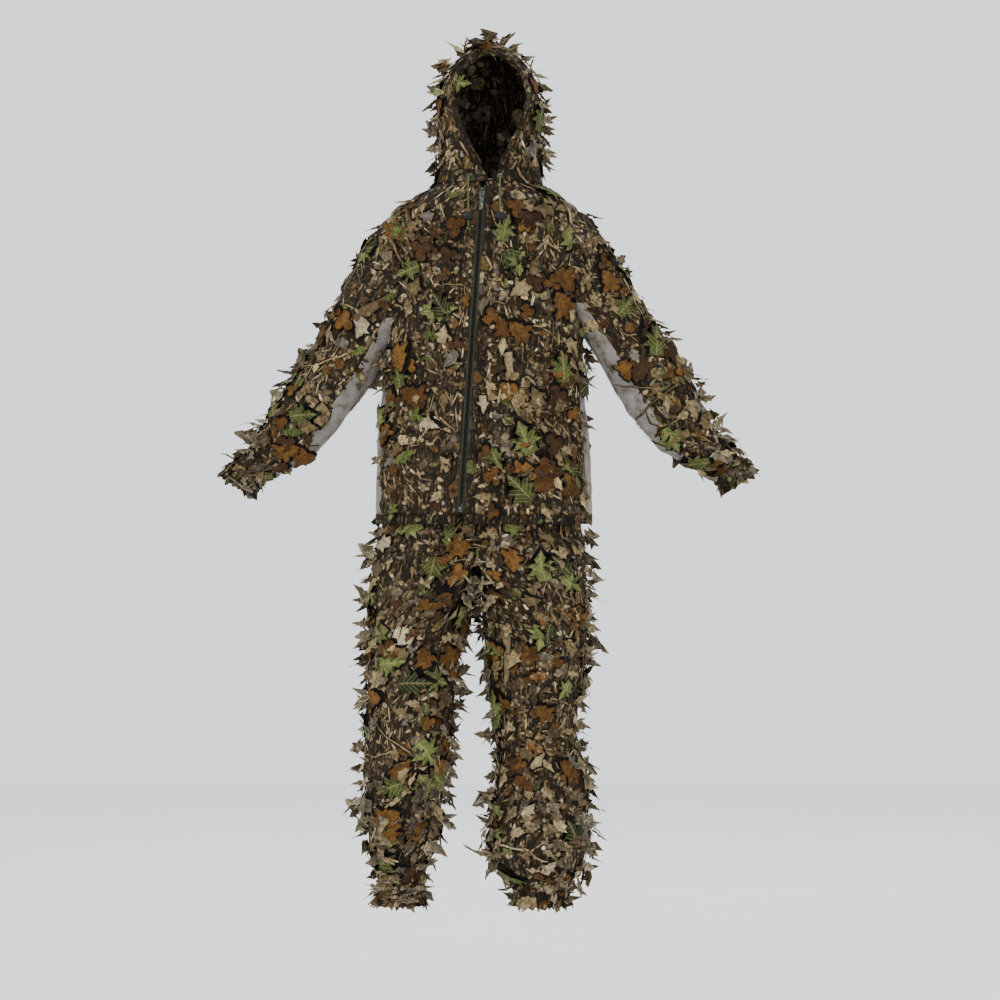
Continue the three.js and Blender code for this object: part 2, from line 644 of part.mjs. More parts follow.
// Pull: a plate whose top bar passes under the arch, with a slot that the arch passes through.
function addPull(slide, face) {
  const bar = PULL_THICK / 2;
  const pin = new THREE.Group();
  pin.position.set(0, -face + BRIDGE_SINK - BRIDGE_R + BRIDGE_WIRE + PULL_FIT + bar, 0);
  slide.add(pin);
  const tip = PULL_HALF * 0.8;
  const round = Array.from({ length: 9 }, (_, i) => {
    const turn = (i / 8) * Math.PI;
    return [tip * Math.cos(turn), -PULL_LENGTH + tip - tip * Math.sin(turn)];
  });
  const plate = slab([[-PULL_HALF, bar], [PULL_HALF, bar], ...round], -bar, bar);
  const slot = BRIDGE_WIRE + PULL_FIT;
  const slotFoot = -BRIDGE_R - BRIDGE_WIRE - PULL_FIT;
  const hole = box([-slot, -PULL_THICK, slotFoot], [slot, PULL_THICK, -bar]);
  add('zip_pull', 'metal', shape(plate.subtract(hole)), pin);
}

// ---- Trousers --------------------------------------------------------------------------------------

function buildTrousers() {
  const seatRings = (inset) => SEAT_ROWS.map((row) => bodyRing(row, inset, TORSO_SIDES));
  const legRings = (side, inset) => LEG_ROWS[side].map((row) => (
    tubeRing(row, inset, 0, LEG_DEPTH, LEG_SIDES)));
  const hollowSeat = seatRings(WALL);
  hollowSeat[0].forEach((p) => p.setZ(p.z + WALL));
  hollowSeat.at(-1).forEach((p) => p.setZ(p.z + WALL));
  let outer = loft(seatRings(0));
  let hollow = loft(hollowSeat);
  for (const side of SIDES) {
    outer = outer.add(loft(legRings(side, 0)));
    hollow = hollow.add(loft(stretched(legRings(side, WALL), WALL)));
  }
  const shell = outer.subtract(hollow);
  for (const side of SIDES) {
    const edge = CROTCH_SEAM_X + outward(side) * SEAM / 2;
    const x = outward(side) * FAR;
    const span = [Math.min(edge, x), Math.max(edge, x)];
    const low = -2 * FAR;
    const front = box([span[0], -FAR, low], [span[1], SIDE_SEAM_Y, 0]);
    const back = box([span[0], SIDE_SEAM_Y + SEAM, low], [span[1], FAR, 0]);
    add(`leg_front_${side}`, 'leafy', shape(shell.intersect(front)));
    add(`leg_back_${side}`, 'leafy', shape(shell.intersect(back)));
    const [ankleX, ankleZ, radius] = LEG_ROWS[side].at(-1);
    addElasticEnd(`ankle_${side}`, [ankleX, 0, ankleZ - BAND_GAP], 0, radius);
  }
  const waist = SEAT_ROWS.at(-1);
  const low = waist[0] + SEAM;
  const ringAt = (inset, z) => bodyRing([z, ...waist.slice(1)], inset, TORSO_SIDES);
  const { casing, band } = elasticBand(ringAt, low, low + WAIST_HEIGHT);
  add('waistband', 'leafy', shape(casing));
  add('waist_elastic', 'elastic', shape(band));
}

buildJacket();
buildHem();
buildDrawcord();
buildZip();
buildTrousers();

export default suit;
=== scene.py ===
"""Leafy camouflage suit: printed cloth, cut leaves, zip and cords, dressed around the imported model.

Metres, +Z up, front faces -Y. The origin is the base of the neck. Right and left are the wearer's.
"""

import json
import logging
import math
from collections.abc import Callable, Sequence
from dataclasses import dataclass, field
from enum import Enum

import bpy
import numpy as np
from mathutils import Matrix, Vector
from numpy.typing import NDArray


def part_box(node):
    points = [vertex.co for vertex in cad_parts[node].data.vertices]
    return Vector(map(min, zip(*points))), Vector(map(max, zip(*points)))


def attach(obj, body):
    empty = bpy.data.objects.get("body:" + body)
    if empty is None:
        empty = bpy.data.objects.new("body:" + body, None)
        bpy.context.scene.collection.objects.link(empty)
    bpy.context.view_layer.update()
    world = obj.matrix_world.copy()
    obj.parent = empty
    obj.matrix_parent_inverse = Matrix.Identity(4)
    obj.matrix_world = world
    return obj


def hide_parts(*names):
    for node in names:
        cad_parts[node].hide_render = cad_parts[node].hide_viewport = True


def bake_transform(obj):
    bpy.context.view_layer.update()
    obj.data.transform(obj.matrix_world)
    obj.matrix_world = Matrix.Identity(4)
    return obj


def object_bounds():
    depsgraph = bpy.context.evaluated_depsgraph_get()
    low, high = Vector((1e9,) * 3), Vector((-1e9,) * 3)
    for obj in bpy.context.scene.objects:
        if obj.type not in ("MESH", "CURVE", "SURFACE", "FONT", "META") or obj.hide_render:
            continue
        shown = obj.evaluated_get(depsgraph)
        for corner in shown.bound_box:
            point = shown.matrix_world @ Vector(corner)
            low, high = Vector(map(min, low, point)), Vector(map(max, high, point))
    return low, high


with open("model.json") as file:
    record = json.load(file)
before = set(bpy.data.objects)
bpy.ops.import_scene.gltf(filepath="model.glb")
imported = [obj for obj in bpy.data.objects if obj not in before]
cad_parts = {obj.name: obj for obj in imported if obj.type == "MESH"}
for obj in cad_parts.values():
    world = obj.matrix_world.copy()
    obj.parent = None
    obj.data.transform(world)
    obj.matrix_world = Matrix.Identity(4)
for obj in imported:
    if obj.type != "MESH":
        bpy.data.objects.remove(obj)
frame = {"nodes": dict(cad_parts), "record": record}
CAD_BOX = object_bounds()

Array = NDArray[np.float64]
Mask = NDArray[np.bool_]
log = logging.getLogger("suit")

MM = 0.001
TAU = 2 * math.pi
Y_LIMITS = (CAD_BOX[0][1] - 0.015, CAD_BOX[1][1] + 0.015)     # how far front and back the cut bits may stand


class Side(Enum):
    """The wearer's sides, with the sign of X that each lies on."""

    RIGHT = -1
    LEFT = 1

    @property
    def word(self) -> str:
        """The side as it stands in node names."""
        return self.name.lower()


# ---- Colours ---------------------------------------------------------------------------------------


def linear(red: int, green: int, blue: int) -> tuple[float, float, float]:
    """Turns a display colour of 0 to 255 into scene-linear values.

    Args:
        red, green, blue: Display values.

    Returns:
        The three linear values: a power of 2.4 above a short straight foot.
    """
    shown = np.array([red, green, blue]) / 255
    value = np.where(shown <= 0.04045, shown / 12.92, ((shown + 0.055) / 1.055) ** 2.4)
    return tuple(float(x) for x in value)


SOIL = linear(5, 4, 3)
BARK_DARK = linear(36, 27, 17)
BARK = linear(68, 54, 36)
TAN = linear(112, 94, 64)
STRAW = linear(156, 136, 98)
BEIGE = linear(196, 178, 142)
STONE = linear(118, 110, 94)
RUST = linear(92, 61, 28)
AMBER = linear(114, 79, 36)
UMBER = linear(68, 46, 27)
OLIVE = linear(84, 94, 46)
FRESH = linear(112, 122, 66)
MOSS = linear(48, 60, 32)
# Pale of the cut flaps' rims and of flaps that stand off: partly their pale cut edge and reverse, partly
# painted backlight through the thin cloth
PALE = linear(198, 184, 154)

DYE = 0.74                   # share of the light that dyed cloth keeps

Colour = tuple[float, float, float]
Palette = Sequence[tuple[Colour, float]]

CHIPS: Palette = (
    (BARK_DARK, 0.2), (BARK, 0.26), (TAN, 0.24), (STRAW, 0.13), (BEIGE, 0.05), (STONE, 0.05), (UMBER, 0.07))
PEBBLES: Palette = ((TAN, 0.26), (STRAW, 0.28), (BEIGE, 0.14), (STONE, 0.16), (BARK, 0.16))
TWIGS: Palette = ((TAN, 0.3), (STRAW, 0.4), (BEIGE, 0.14), (UMBER, 0.16))
TRUNKS: Palette = ((TAN, 0.45), (STRAW, 0.3), (BARK, 0.25))
SLABS: Palette = ((STRAW, 0.4), (TAN, 0.3), (STONE, 0.15), (BEIGE, 0.15))
GREENS: Palette = ((OLIVE, 0.42), (FRESH, 0.4), (MOSS, 0.18))
OCHRES: Palette = ((RUST, 0.42), (AMBER, 0.38), (UMBER, 0.2))
FLAPS: Palette = (
    (BARK_DARK, 0.1), (BARK, 0.26), (TAN, 0.24), (STRAW, 0.14), (UMBER, 0.1), (OLIVE, 0.06), (RUST, 0.06),
    (STONE, 0.04))


def pick(palette: Palette, count: int, rng: np.random.Generator, spread: float = 0.22) -> Array:
    """Draws colours from a palette and varies how light each one is.

    Args:
        palette: Colours with their shares.
        count: How many to draw.
        rng: Source of the draws.
        spread: Standard deviation of the lightness factor.

    Returns:
        An array of count by 3.
    """
    colours = np.array([colour for colour, _ in palette])
    share = np.array([weight for _, weight in palette])
    chosen = colours[rng.choice(len(colours), count, p=share / share.sum())]
    return DYE * chosen * np.exp(rng.normal(0, spread, count))[:, None]


# ---- Curves and surfaces ---------------------------------------------------------------------------


def smooth(x: Array, low: float, high: float) -> Array:
    """Rises from 0 at low to 1 at high along 3t^2 - 2t^3."""
    t = np.clip((np.asarray(x, float) - low) / (high - low), 0, 1)
    return t * t * (3 - 2 * t)


def monotone(x: Array, y: Array, at: Array) -> Array:
    """Cubic through points whose slope at each is the harmonic mean of its neighbours' slopes.

    Args:
        x: Rising places of the points.
        y: Their values.
        at: Where to work the curve out.

    Returns:
        The values at those places; the curve never overshoots a point.
    """
    step = np.diff(x)
    slope = np.diff(y) / step
    product = slope[1:] * slope[:-1]
    total = slope[1:] + slope[:-1]
    inner = np.where(product > 0, 2 * product / np.where(total == 0, 1, total), 0)
    tangent = np.concatenate([slope[:1], inner, slope[-1:]])
    i = np.clip(np.searchsorted(x, at) - 1, 0, len(x) - 2)
    t = (at - x[i]) / step[i]
    rise = t * t * (3 - 2 * t)
    return ((1 - rise) * y[i] + rise * y[i + 1]
            + step[i] * (t * (1 - t) ** 2 * tangent[i] - t * t * (1 - t) * tangent[i + 1]))


def pressed(value: Array, low: float, high: float, knee: float = 10 * MM) -> Array:
    """Keeps values between two limits: past limit less knee they near it by 1 - exp(-over / knee)."""
    over = np.maximum(value - high + knee, 0)
    under = np.maximum(low + knee - value, 0)
    bent = lambda past: past - knee * (1 - np.exp(-past / knee))
    return value - bent(over) + bent(under)


class Rows:
    """Smooth run through listed rows, walked from 0 to 1 by the length of its first two columns."""

    SAMPLES = 500

    def __init__(self, rows: Sequence[Sequence[float]]) -> None:
        """Fits the run.

        Args:
            rows: Rows of millimetres.
        """
        table = np.array(rows, float) * MM
        length = np.concatenate([[0], np.cumsum(np.linalg.norm(np.diff(table[:, :2], axis=0), axis=1))])
        self.length = float(length[-1])
        self.at = np.linspace(0, 1, self.SAMPLES)
        self.table = np.stack([monotone(length / length[-1], column, self.at) for column in table.T], 1)

    def __call__(self, v: Array) -> Array:
        """Gives the row at each v, with the columns last."""
        return np.stack([np.interp(v, self.at, column) for column in self.table.T], -1)

    def find(self, column: int, value: float) -> float:
        """Gives the first v at which a column reaches a value, whichever way the column runs."""
        run = self.table[:, column]
        past = np.nonzero((run >= value) if run[-1] > run[0] else (run <= value))[0]
        return float(self.at[past[0]]) if len(past) else 1.0


@dataclass(frozen=True)
class Folds:
    """Creases over a shell: a mean of waves 1 - 2|sin| that run round m times and along k times."""

    seed: int
    around: tuple[int, int]
    along: tuple[float, float]
    depth: float
    count: int = 9

    def __call__(self, u: Array, v: Array) -> Array:
        """Gives the height of the cloth over its plain form, in metres."""
        rng = np.random.default_rng(self.seed)
        waves = rng.integers(self.around[0], self.around[1] + 1, self.count)
        runs = rng.uniform(*self.along, self.count) * rng.choice([-1, 1], self.count)
        phase = rng.uniform(0, TAU, self.count)
        weight = rng.uniform(0.5, 1, self.count)
        warp = 0.7 * np.sin(TAU * (u + 1.7 * v) + phase[0]) + 0.5 * np.sin(TAU * (2 * u - 3.1 * v) + phase[1])
        total = np.zeros(np.broadcast(u, v).shape)
        for m, k, turn, share in zip(waves, runs, phase, weight):
            total += share * (1 - 2 * np.abs(np.sin(math.pi * (m * u + k * v) + turn + warp)) ** 0.8)
        return self.depth * total / weight.sum()


class Shell:
    """Closed-round surface kept as a table of points, u round it from 0 to 1 and v along it."""

    def __init__(self, points: Array, lift: Array | None = None) -> None:
        """Keeps the table, raised along its normals.

        Args:
            points: Rows along v, columns round u, three coordinates.
            lift: Height to add at each point, or None.
        """
        self.points = points
        self.normals = self._normals()
        if lift is not None:
            self.points = points + self.normals * lift[..., None]
            self.normals = self._normals()
        across = np.roll(self.points, -1, 1) - self.points
        along = np.gradient(self.points, axis=0)
        rows, columns = points.shape[:2]
        self.ahead = along * (rows - 1)
        self.spans = np.stack([np.linalg.norm(across, axis=2) * columns,
                               np.linalg.norm(self.ahead, axis=2)], -1)

    def _normals(self) -> Array:
        """Unit normals, turned to point away from the middle of each ring; keeps the turn as sense."""
        across = np.roll(self.points, -1, 1) - np.roll(self.points, 1, 1)
        along = np.gradient(self.points, axis=0)
        normal = np.cross(across, along)
        normal /= np.maximum(np.linalg.norm(normal, axis=2, keepdims=True), 1e-12)
        outward = self.points - self.points.mean(1, keepdims=True)
        self.sense = float(np.sign((normal * outward).sum()))
        return normal * self.sense

    def _blend(self, table: Array, u: Array, v: Array) -> Array:
        """Reads a table between its entries: the weighted mean of the four around each place."""
        rows, columns = table.shape[:2]
        across = (np.asarray(u) % 1) * columns
        along = np.clip(v, 0, 1) * (rows - 1)
        i = np.minimum(along.astype(int), rows - 2)
        j = across.astype(int) % columns
        s = (along - i)[..., None]
        t = (across - across.astype(int))[..., None]
        k = (j + 1) % columns
        return ((1 - s) * ((1 - t) * table[i, j] + t * table[i, k])
                + s * ((1 - t) * table[i + 1, j] + t * table[i + 1, k]))

    def at(self, u: Array, v: Array) -> tuple[Array, Array]:
        """Gives the points and unit normals at each u and v; past either end it goes straight on."""
        normal = self._blend(self.normals, u, v)
        past = np.asarray(v - np.clip(v, 0, 1))[..., None]
        points = self._blend(self.points, u, v) + self._blend(self.ahead, u, v) * past
        return points, normal / np.linalg.norm(normal, axis=-1, keepdims=True)

    def span(self, u: Array, v: Array) -> Array:
        """Gives metres per unit of u and of v, in the last column."""
        return np.maximum(self._blend(self.spans, u, v), 1e-3)

    def scatter(self, per_m2: float, seed: int) -> tuple[Array, Array]:
        """Spreads places evenly over the surface.

        Args:
            per_m2: How many to a square metre.
            seed: Start of the sequence.

        Returns:
            u and v of places from an additive sequence of three numbers, of which a place is kept
            where the third is below the local share of the largest cell area.
        """
        area = self.spans[..., 0] * self.spans[..., 1]
        count = int(per_m2 * area.max())
        step = 1.2207440846057596
        index = np.arange(count) + seed * 1000
        u, v, test = (np.mod(0.5 + index / step ** power, 1) for power in (1, 2, 3))
        rng = np.random.default_rng(seed)
        u = np.mod(u + rng.normal(0, 0.004, count), 1)
        kept = test < self._blend(area[..., None], u, v)[..., 0] / area.max()
        return u[kept], v[kept]


SQUARENESS = 2.4


def superellipse(angle: Array, half: Array, front: Array, back: Array) -> tuple[Array, Array]:
    """Ring whose |x/a|^n + |y/b|^n is 1, with its own depth in front (y below 0) and behind."""
    power = 2 / SQUARENESS
    cosine, sine = np.cos(angle), np.sin(angle)
    x = half * np.sign(cosine) * np.abs(cosine) ** power
    depth = np.where(sine < 0, front, back)
    return x, depth * np.sign(sine) * np.abs(sine) ** power


# ---- Meshes ----------------------------------------------------------------------------------------


@dataclass
class Patch:
    """Points and faces with the maps that finishes read; a map is by point or by corner of each face."""

    points: Array
    faces: NDArray[np.int64]
    cloth: Array
    tint: Array | None = None
    bake: Array | None = None


def joined(patches: Sequence[Patch]) -> Patch:
    """Puts patches with faces of one kind into one."""
    start = np.cumsum([0] + [len(patch.points) for patch in patches[:-1]])
    faces = np.concatenate([patch.faces + first for patch, first in zip(patches, start)])
    stack = lambda name: (None if getattr(patches[0], name) is None
                          else np.concatenate([getattr(patch, name) for patch in patches]))
    return Patch(stack("points"), faces, stack("cloth"), stack("tint"), stack("bake"))


def grid_faces(rows: int, columns: int, closed: bool = False) -> NDArray[np.int64]:
    """Quads over a grid of points; closed joins the last column to the first."""
    i = np.arange(rows - 1)[:, None]
    j = np.arange(columns if closed else columns - 1)[None, :]
    k = (j + 1) % columns
    corners = [i * columns + j, i * columns + k, (i + 1) * columns + k, (i + 1) * columns + j]
    return np.stack([np.broadcast_to(c, (rows - 1, j.shape[1])) for c in corners], -1).reshape(-1, 4)


def unit_square(rows: int, columns: int) -> Array:
    """Grid of places from 0 to 1 that keeps each piece's own bake map apart."""
    v, u = np.meshgrid(np.linspace(0.01, 0.99, rows), np.linspace(0.01, 0.99, columns), indexing="ij")
    return np.stack([u, v], -1).reshape(-1, 2)


def build(name: str, patch: Patch, material: bpy.types.Material, soft: bool = True) -> bpy.types.Object:
    """Makes the object of a patch.

    Args:
        name: Its name.
        patch: Points, faces and maps.
        material: Its finish.
        soft: Whether faces are shaded smooth.

    Returns:
        The object, linked, at the origin.
    """
    mesh = bpy.data.meshes.new(name)
    faces = np.ascontiguousarray(patch.faces, np.int32)
    corners = faces.shape[1]
    mesh.vertices.add(len(patch.points))
    mesh.vertices.foreach_set("co", patch.points.astype(np.float32).ravel())
    mesh.loops.add(faces.size)
    mesh.loops.foreach_set("vertex_index", faces.ravel())
    mesh.polygons.add(len(faces))
    mesh.polygons.foreach_set("loop_start", np.arange(0, faces.size, corners, dtype=np.int32))
    mesh.polygons.foreach_set("use_smooth", np.full(len(faces), soft))
    for layer, place in (("cloth", patch.cloth), ("OFBake", patch.bake)):
        if place is not None:
            data = mesh.uv_layers.new(name=layer).data
            corner = place if place.ndim == 3 else place[faces.ravel()]
            data.foreach_set("uv", corner.astype(np.float32).ravel())
    if patch.tint is not None:
        tint = mesh.color_attributes.new(name="tint", type="FLOAT_COLOR", domain="POINT")
        tint.data.foreach_set("color", patch.tint.astype(np.float32).ravel())
    mesh.update(calc_edges=True)
    mesh.validate()
    mesh.materials.append(material)
    piece = bpy.data.objects.new(name, mesh)
    bpy.context.collection.objects.link(piece)
    log.info("%s: %d faces", name, len(faces))
    return piece


def thicken(piece: bpy.types.Object, wall: float) -> None:
    """Gives a sheet its wall, on the inside."""
    solidify = piece.modifiers.new("wall", "SOLIDIFY")
    solidify.thickness = wall
    solidify.offset = -1


def area_of(patch: Patch) -> float:
    """Area of a patch of quads or triangles, as half the cross product of their diagonals or sides."""
    corner = patch.points[patch.faces]
    if patch.faces.shape[1] == 4:
        cross = np.cross(corner[:, 2] - corner[:, 0], corner[:, 3] - corner[:, 1])
    else:
        cross = np.cross(corner[:, 1] - corner[:, 0], corner[:, 2] - corner[:, 0])
    return float(np.linalg.norm(cross, axis=1).sum() / 2)


def panel(shell: Shell, u: Array, v: Array, rise: Array | float = 0.0, shift: float = 0.0) -> Patch:
    """Cloth over a range of a shell.

    Args:
        shell: The surface.
        u, v: Grids of places, rows along v.
        rise: Height over the shell.
        shift: Where the panel was cut from the printed roll, in metres.

    Returns:
        Quads that face out. The cloth map holds metres: each row's own length round, from its
        middle, and the mean length along.
    """
    points, normals = shell.at(u, v)
    points = points + normals * (np.zeros(u.shape) + rise)[..., None]
    rows, columns = u.shape
    faces = grid_faces(rows, columns)
    corner = points.reshape(-1, 3)[faces]
    facing = np.cross(corner[:, 1] - corner[:, 0], corner[:, 3] - corner[:, 0])
    if (facing * normals.reshape(-1, 3)[faces[:, 0]]).sum() < 0:
        faces = faces[:, ::-1]
    across = np.linalg.norm(np.diff(points, axis=1), axis=2)
    run = np.concatenate([np.zeros((rows, 1)), np.cumsum(across, 1)], 1)
    run -= run[:, -1:] / 2
    along = np.linalg.norm(np.diff(points, axis=0), axis=2).mean(1)
    climb = np.concatenate([[0], np.cumsum(along)])[:, None] + np.zeros((rows, columns))
    cloth = np.stack([run + shift, climb + 0.37 * shift], -1).reshape(-1, 2)
    return Patch(points.reshape(-1, 3), faces, cloth, bake=unit_square(rows, columns))


def sweep(path: Array, section: Array, up: Array, closed: bool = False) -> Patch:
    """Carries a closed section along a path.

    Args:
        path: Points, one for each ring.
        section: Places round the section, either one set or one for each ring: side, then up.
        up: Direction, or one for each ring, that the section's second axis leans to.
        closed: Whether the last ring joins the first.

    Returns:
        Quads that face out, with metres in the cloth map by corner. Open ends get a fan of flat quads.
    """
    tangent = np.roll(path, -1, 0) - np.roll(path, 1, 0) if closed else np.gradient(path, axis=0)
    tangent /= np.linalg.norm(tangent, axis=1, keepdims=True)
    side = np.cross(tangent, np.broadcast_to(up, path.shape))
    side /= np.linalg.norm(side, axis=1, keepdims=True)
    rise = np.cross(side, tangent)
    section = np.broadcast_to(section, (len(path),) + section.shape[-2:])
    rings = path[:, None] + section[..., :1] * side[:, None] + section[..., 1:] * rise[:, None]
    if not closed:
        cap = lambda ring: np.broadcast_to(ring.mean(0), ring.shape)[None]
        rings = np.concatenate([cap(rings[0]), rings, cap(rings[-1])])
    rows, columns = rings.shape[:2]
    open_faces = grid_faces(rows + closed, columns + 1)
    faces = open_faces // (columns + 1) % rows * columns + open_faces % (columns + 1) % columns
    points = rings.reshape(-1, 3)
    corner = points[faces]
    volume = (corner[:, 0] * np.cross(corner[:, 1], corner[:, 2])).sum()
    volume += (corner[:, 0] * np.cross(corner[:, 2], corner[:, 3])).sum()
    if volume < 0:
        faces, open_faces = faces[:, ::-1], open_faces[:, ::-1]
    middle = rings.mean(1)
    step = np.linalg.norm(np.diff(np.concatenate([middle, middle[:1]]), axis=0), axis=1)
    climb = np.concatenate([[0], np.cumsum(step)])[:rows + closed]
    ring = section[len(section) // 2]
    girth = np.linalg.norm(ring - np.roll(ring, 1, 0), axis=1).sum()
    turn, climb = np.meshgrid(np.linspace(0, girth, columns + 1), climb)
    cloth = np.stack([turn, climb], -1).reshape(-1, 2)
    return Patch(points, faces, cloth[open_faces])


def circle(radius: float, sides: int) -> Array:
    """Round section."""
    turn = np.linspace(0, TAU, sides, endpoint=False)
    return radius * np.stack([np.cos(turn), np.sin(turn)], -1)


def spline(points: Sequence[Sequence[float]], count: int) -> Array:
    """Even steps along the Catmull-Rom curve through given points."""
    knots = np.array(points, float)
    knots = np.concatenate([[2 * knots[0] - knots[1]], knots, [2 * knots[-1] - knots[-2]]])
    t = np.linspace(0, 1, 24, endpoint=False)[:, None]
    parts = [0.5 * ((2 * b) + (c - a) * t + (2 * a - 5 * b + 4 * c - d) * t ** 2
                    + (3 * b - a - 3 * c + d) * t ** 3)
             for a, b, c, d in zip(knots, knots[1:], knots[2:], knots[3:])]
    line = np.concatenate(parts + [knots[-2:-1]])
    length = np.concatenate([[0], np.cumsum(np.linalg.norm(np.diff(line, axis=0), axis=1))])
    at = np.linspace(0, length[-1], count)
    return np.stack([np.interp(at, length, column) for column in line.T], -1)


# ---- Cut shapes ------------------------------------------------------------------------------------


@dataclass(frozen=True)
class Cut:
    """Outline of one cut shape: x across it, y from its root at 0 to its tip at 1."""

    outline: Array
    middle: tuple[float, float] = (0.0, 0.45)
    ringed: bool = False

    def parts(self) -> tuple[Array, NDArray[np.int64], Array]:
        """Gives points, triangles and how near the rim each point is.

        Returns:
            A fan about the middle; a ringed cut has a second ring halfway, so that it can bend.
        """
        count = len(self.outline)
        rim = np.arange(count)
        after = (rim + 1) % count
        centre = np.array([self.middle])
        if not self.ringed:
            points = np.concatenate([self.outline, centre])
            faces = np.stack([rim, after, np.full(count, count)], -1)
            return points, faces, np.concatenate([np.ones(count), [0.0]])
        half = centre + (self.outline - centre) * 0.55
        points = np.concatenate([self.outline, half, centre])
        inner, beside = rim + count, after + count
        faces = np.concatenate([np.stack([rim, after, beside], -1), np.stack([rim, beside, inner], -1),
                                np.stack([inner, beside, np.full(count, 2 * count)], -1)])
        return points, faces, np.concatenate([np.ones(count), np.full(count, 0.25), [0.0]])


def oak(lobes: int = 4, width: float = 0.36, steps: int = 13) -> Array:
    """Half width w = width sin(pi y^0.85) (1 + 0.42 cos(lobes turns of y)), on both sides of the rib."""
    y = np.linspace(0.02, 1, steps)
    half = width * np.sin(math.pi * y ** 0.85) * (1 + 0.42 * np.cos(TAU * (lobes * y + 0.5)))
    half = np.maximum(half, 0.02)
    right = np.stack([half, y + 0.05 * np.cos(TAU * lobes * y)], -1)
    left = (right * [-1, 1])[::-1]
    return np.concatenate([right, left])


def maple() -> Array:
    """Five pointed lobes about a point above the root, each with a tooth on both shoulders."""
    tips = [(-58, 0.42), (-42, 0.26), (-22, 0.56), (-6, 0.50), (6, 0.36), (22, 0.30), (40, 0.44), (52, 0.40),
            (66, 0.52), (90, 0.66)]
    angle = np.radians([a for a, _ in tips])
    reach = np.array([r for _, r in tips])
    right = np.stack([reach * np.cos(angle), 0.36 + reach * np.sin(angle)], -1)
    left = (right[:-1] * [-1, 1])[::-1]
    return np.concatenate([[[0.02, 0.0]], right, left, [[-0.02, 0.0]]])


def serrated(teeth: int = 4, width: float = 0.3) -> Array:
    """Pointed leaf with saw teeth: half width width sin(pi y^0.7), stepped out at each tooth."""
    y = np.repeat(np.linspace(0.06, 0.94, teeth), 2) + np.tile([0.0, 0.05], teeth)
    half = width * np.sin(math.pi * np.clip(y, 0, 0.985) ** 0.7) * np.tile([1.15, 0.72], teeth)
    right = np.stack([half, y], -1)
    return np.concatenate([[[0.0, 0.0]], right, [[0.0, 1.03]], (right * [-1, 1])[::-1]])


def trefoil(steps: int = 18) -> Array:
    """Three rounded lobes: reach 0.2 + 0.3 |cos 1.5a|^0.8 about a point above the root."""
    angle = np.linspace(-math.pi / 2, 1.5 * math.pi, steps, endpoint=False)
    reach = 0.2 + 0.3 * np.abs(np.cos(1.5 * (angle - math.pi / 2))) ** 0.8
    return np.stack([reach * np.cos(angle), 0.45 + reach * np.sin(angle)], -1)


def slab() -> Array:
    """Broken plate of bark: an uneven outline, longer than wide."""
    turn = np.linspace(0, TAU, 13, endpoint=False)
    reach = 0.5 + 0.07 * np.cos(3 * turn + 0.6) + 0.05 * np.cos(5 * turn + 2) + 0.03 * np.cos(7 * turn)
    return np.stack([0.62 * reach * np.cos(turn), 0.5 + reach * np.sin(turn)], -1)


def stone(corners: int = 7) -> Array:
    """Rounded pebble with unequal corners."""
    turn = np.linspace(0, TAU, corners, endpoint=False)
    reach = 0.5 + 0.06 * np.cos(3 * turn + 0.6)
    return np.stack([0.85 * reach * np.cos(turn), 0.5 + reach * np.sin(turn)], -1)


def splinter(width: float) -> Array:
    """Long chip that narrows to both ends, with one side straighter than the other."""
    right = np.array([[0.35, 0.02], [0.95, 0.3], [0.8, 0.68], [0.2, 1.0]])
    left = np.array([[-0.25, 0.97], [-0.7, 0.6], [-0.85, 0.25], [-0.3, 0.0]])
    return np.concatenate([right, left]) * [width, 1]


@dataclass(frozen=True)
class Strip:
    """Long cut about a bent middle line, three points wide, so that it follows what it lies on."""

    half: float
    steps: int = 14
    bow: float = 0.05
    fork: float = 0.0

    def limb(self, start: Array, end: Array, half: float,
             steps: int) -> tuple[Array, NDArray[np.int64], Array]:
        """Ladder from one place to another, narrower to its end: half (1 - 0.75 t)."""
        t = np.linspace(0, 1, steps)[:, None]
        ahead = (end - start) / np.linalg.norm(end - start)
        aside = np.array([ahead[1], -ahead[0]])
        bow = self.bow * (np.sin(TAU * 0.8 * t) + 0.35 * np.sin(TAU * 2.3 * t + 1))
        middle = start + (end - start) * t + aside * bow
        width = half * (1 - 0.75 * t) * (1 + 0.16 * np.sin(TAU * 3.1 * t))
        points = np.stack([middle - aside * width, middle, middle + aside * width], 1)
        quads = grid_faces(steps, 3)
        faces = np.concatenate([quads[:, [0, 1, 2]], quads[:, [0, 2, 3]]])
        return points.reshape(-1, 2), faces, np.tile([1.0, 0.0, 1.0], steps)

    def parts(self) -> tuple[Array, NDArray[np.int64], Array]:
        """Gives points, triangles and how near the rim each point is, with a side branch for a fork."""
        points, faces, rim = self.limb(np.array([0.0, 0.0]), np.array([0.0, 1.0]), self.half, self.steps)
        if not self.fork:
            return points, faces, rim
        root = points[3 * (self.steps // 2) + 1]
        side = self.limb(root, root + [self.fork, 0.38], self.half * 0.6, self.steps // 2)
        return (np.concatenate([points, side[0]]), np.concatenate([faces, side[1] + len(points)]),
                np.concatenate([rim, side[2]]))


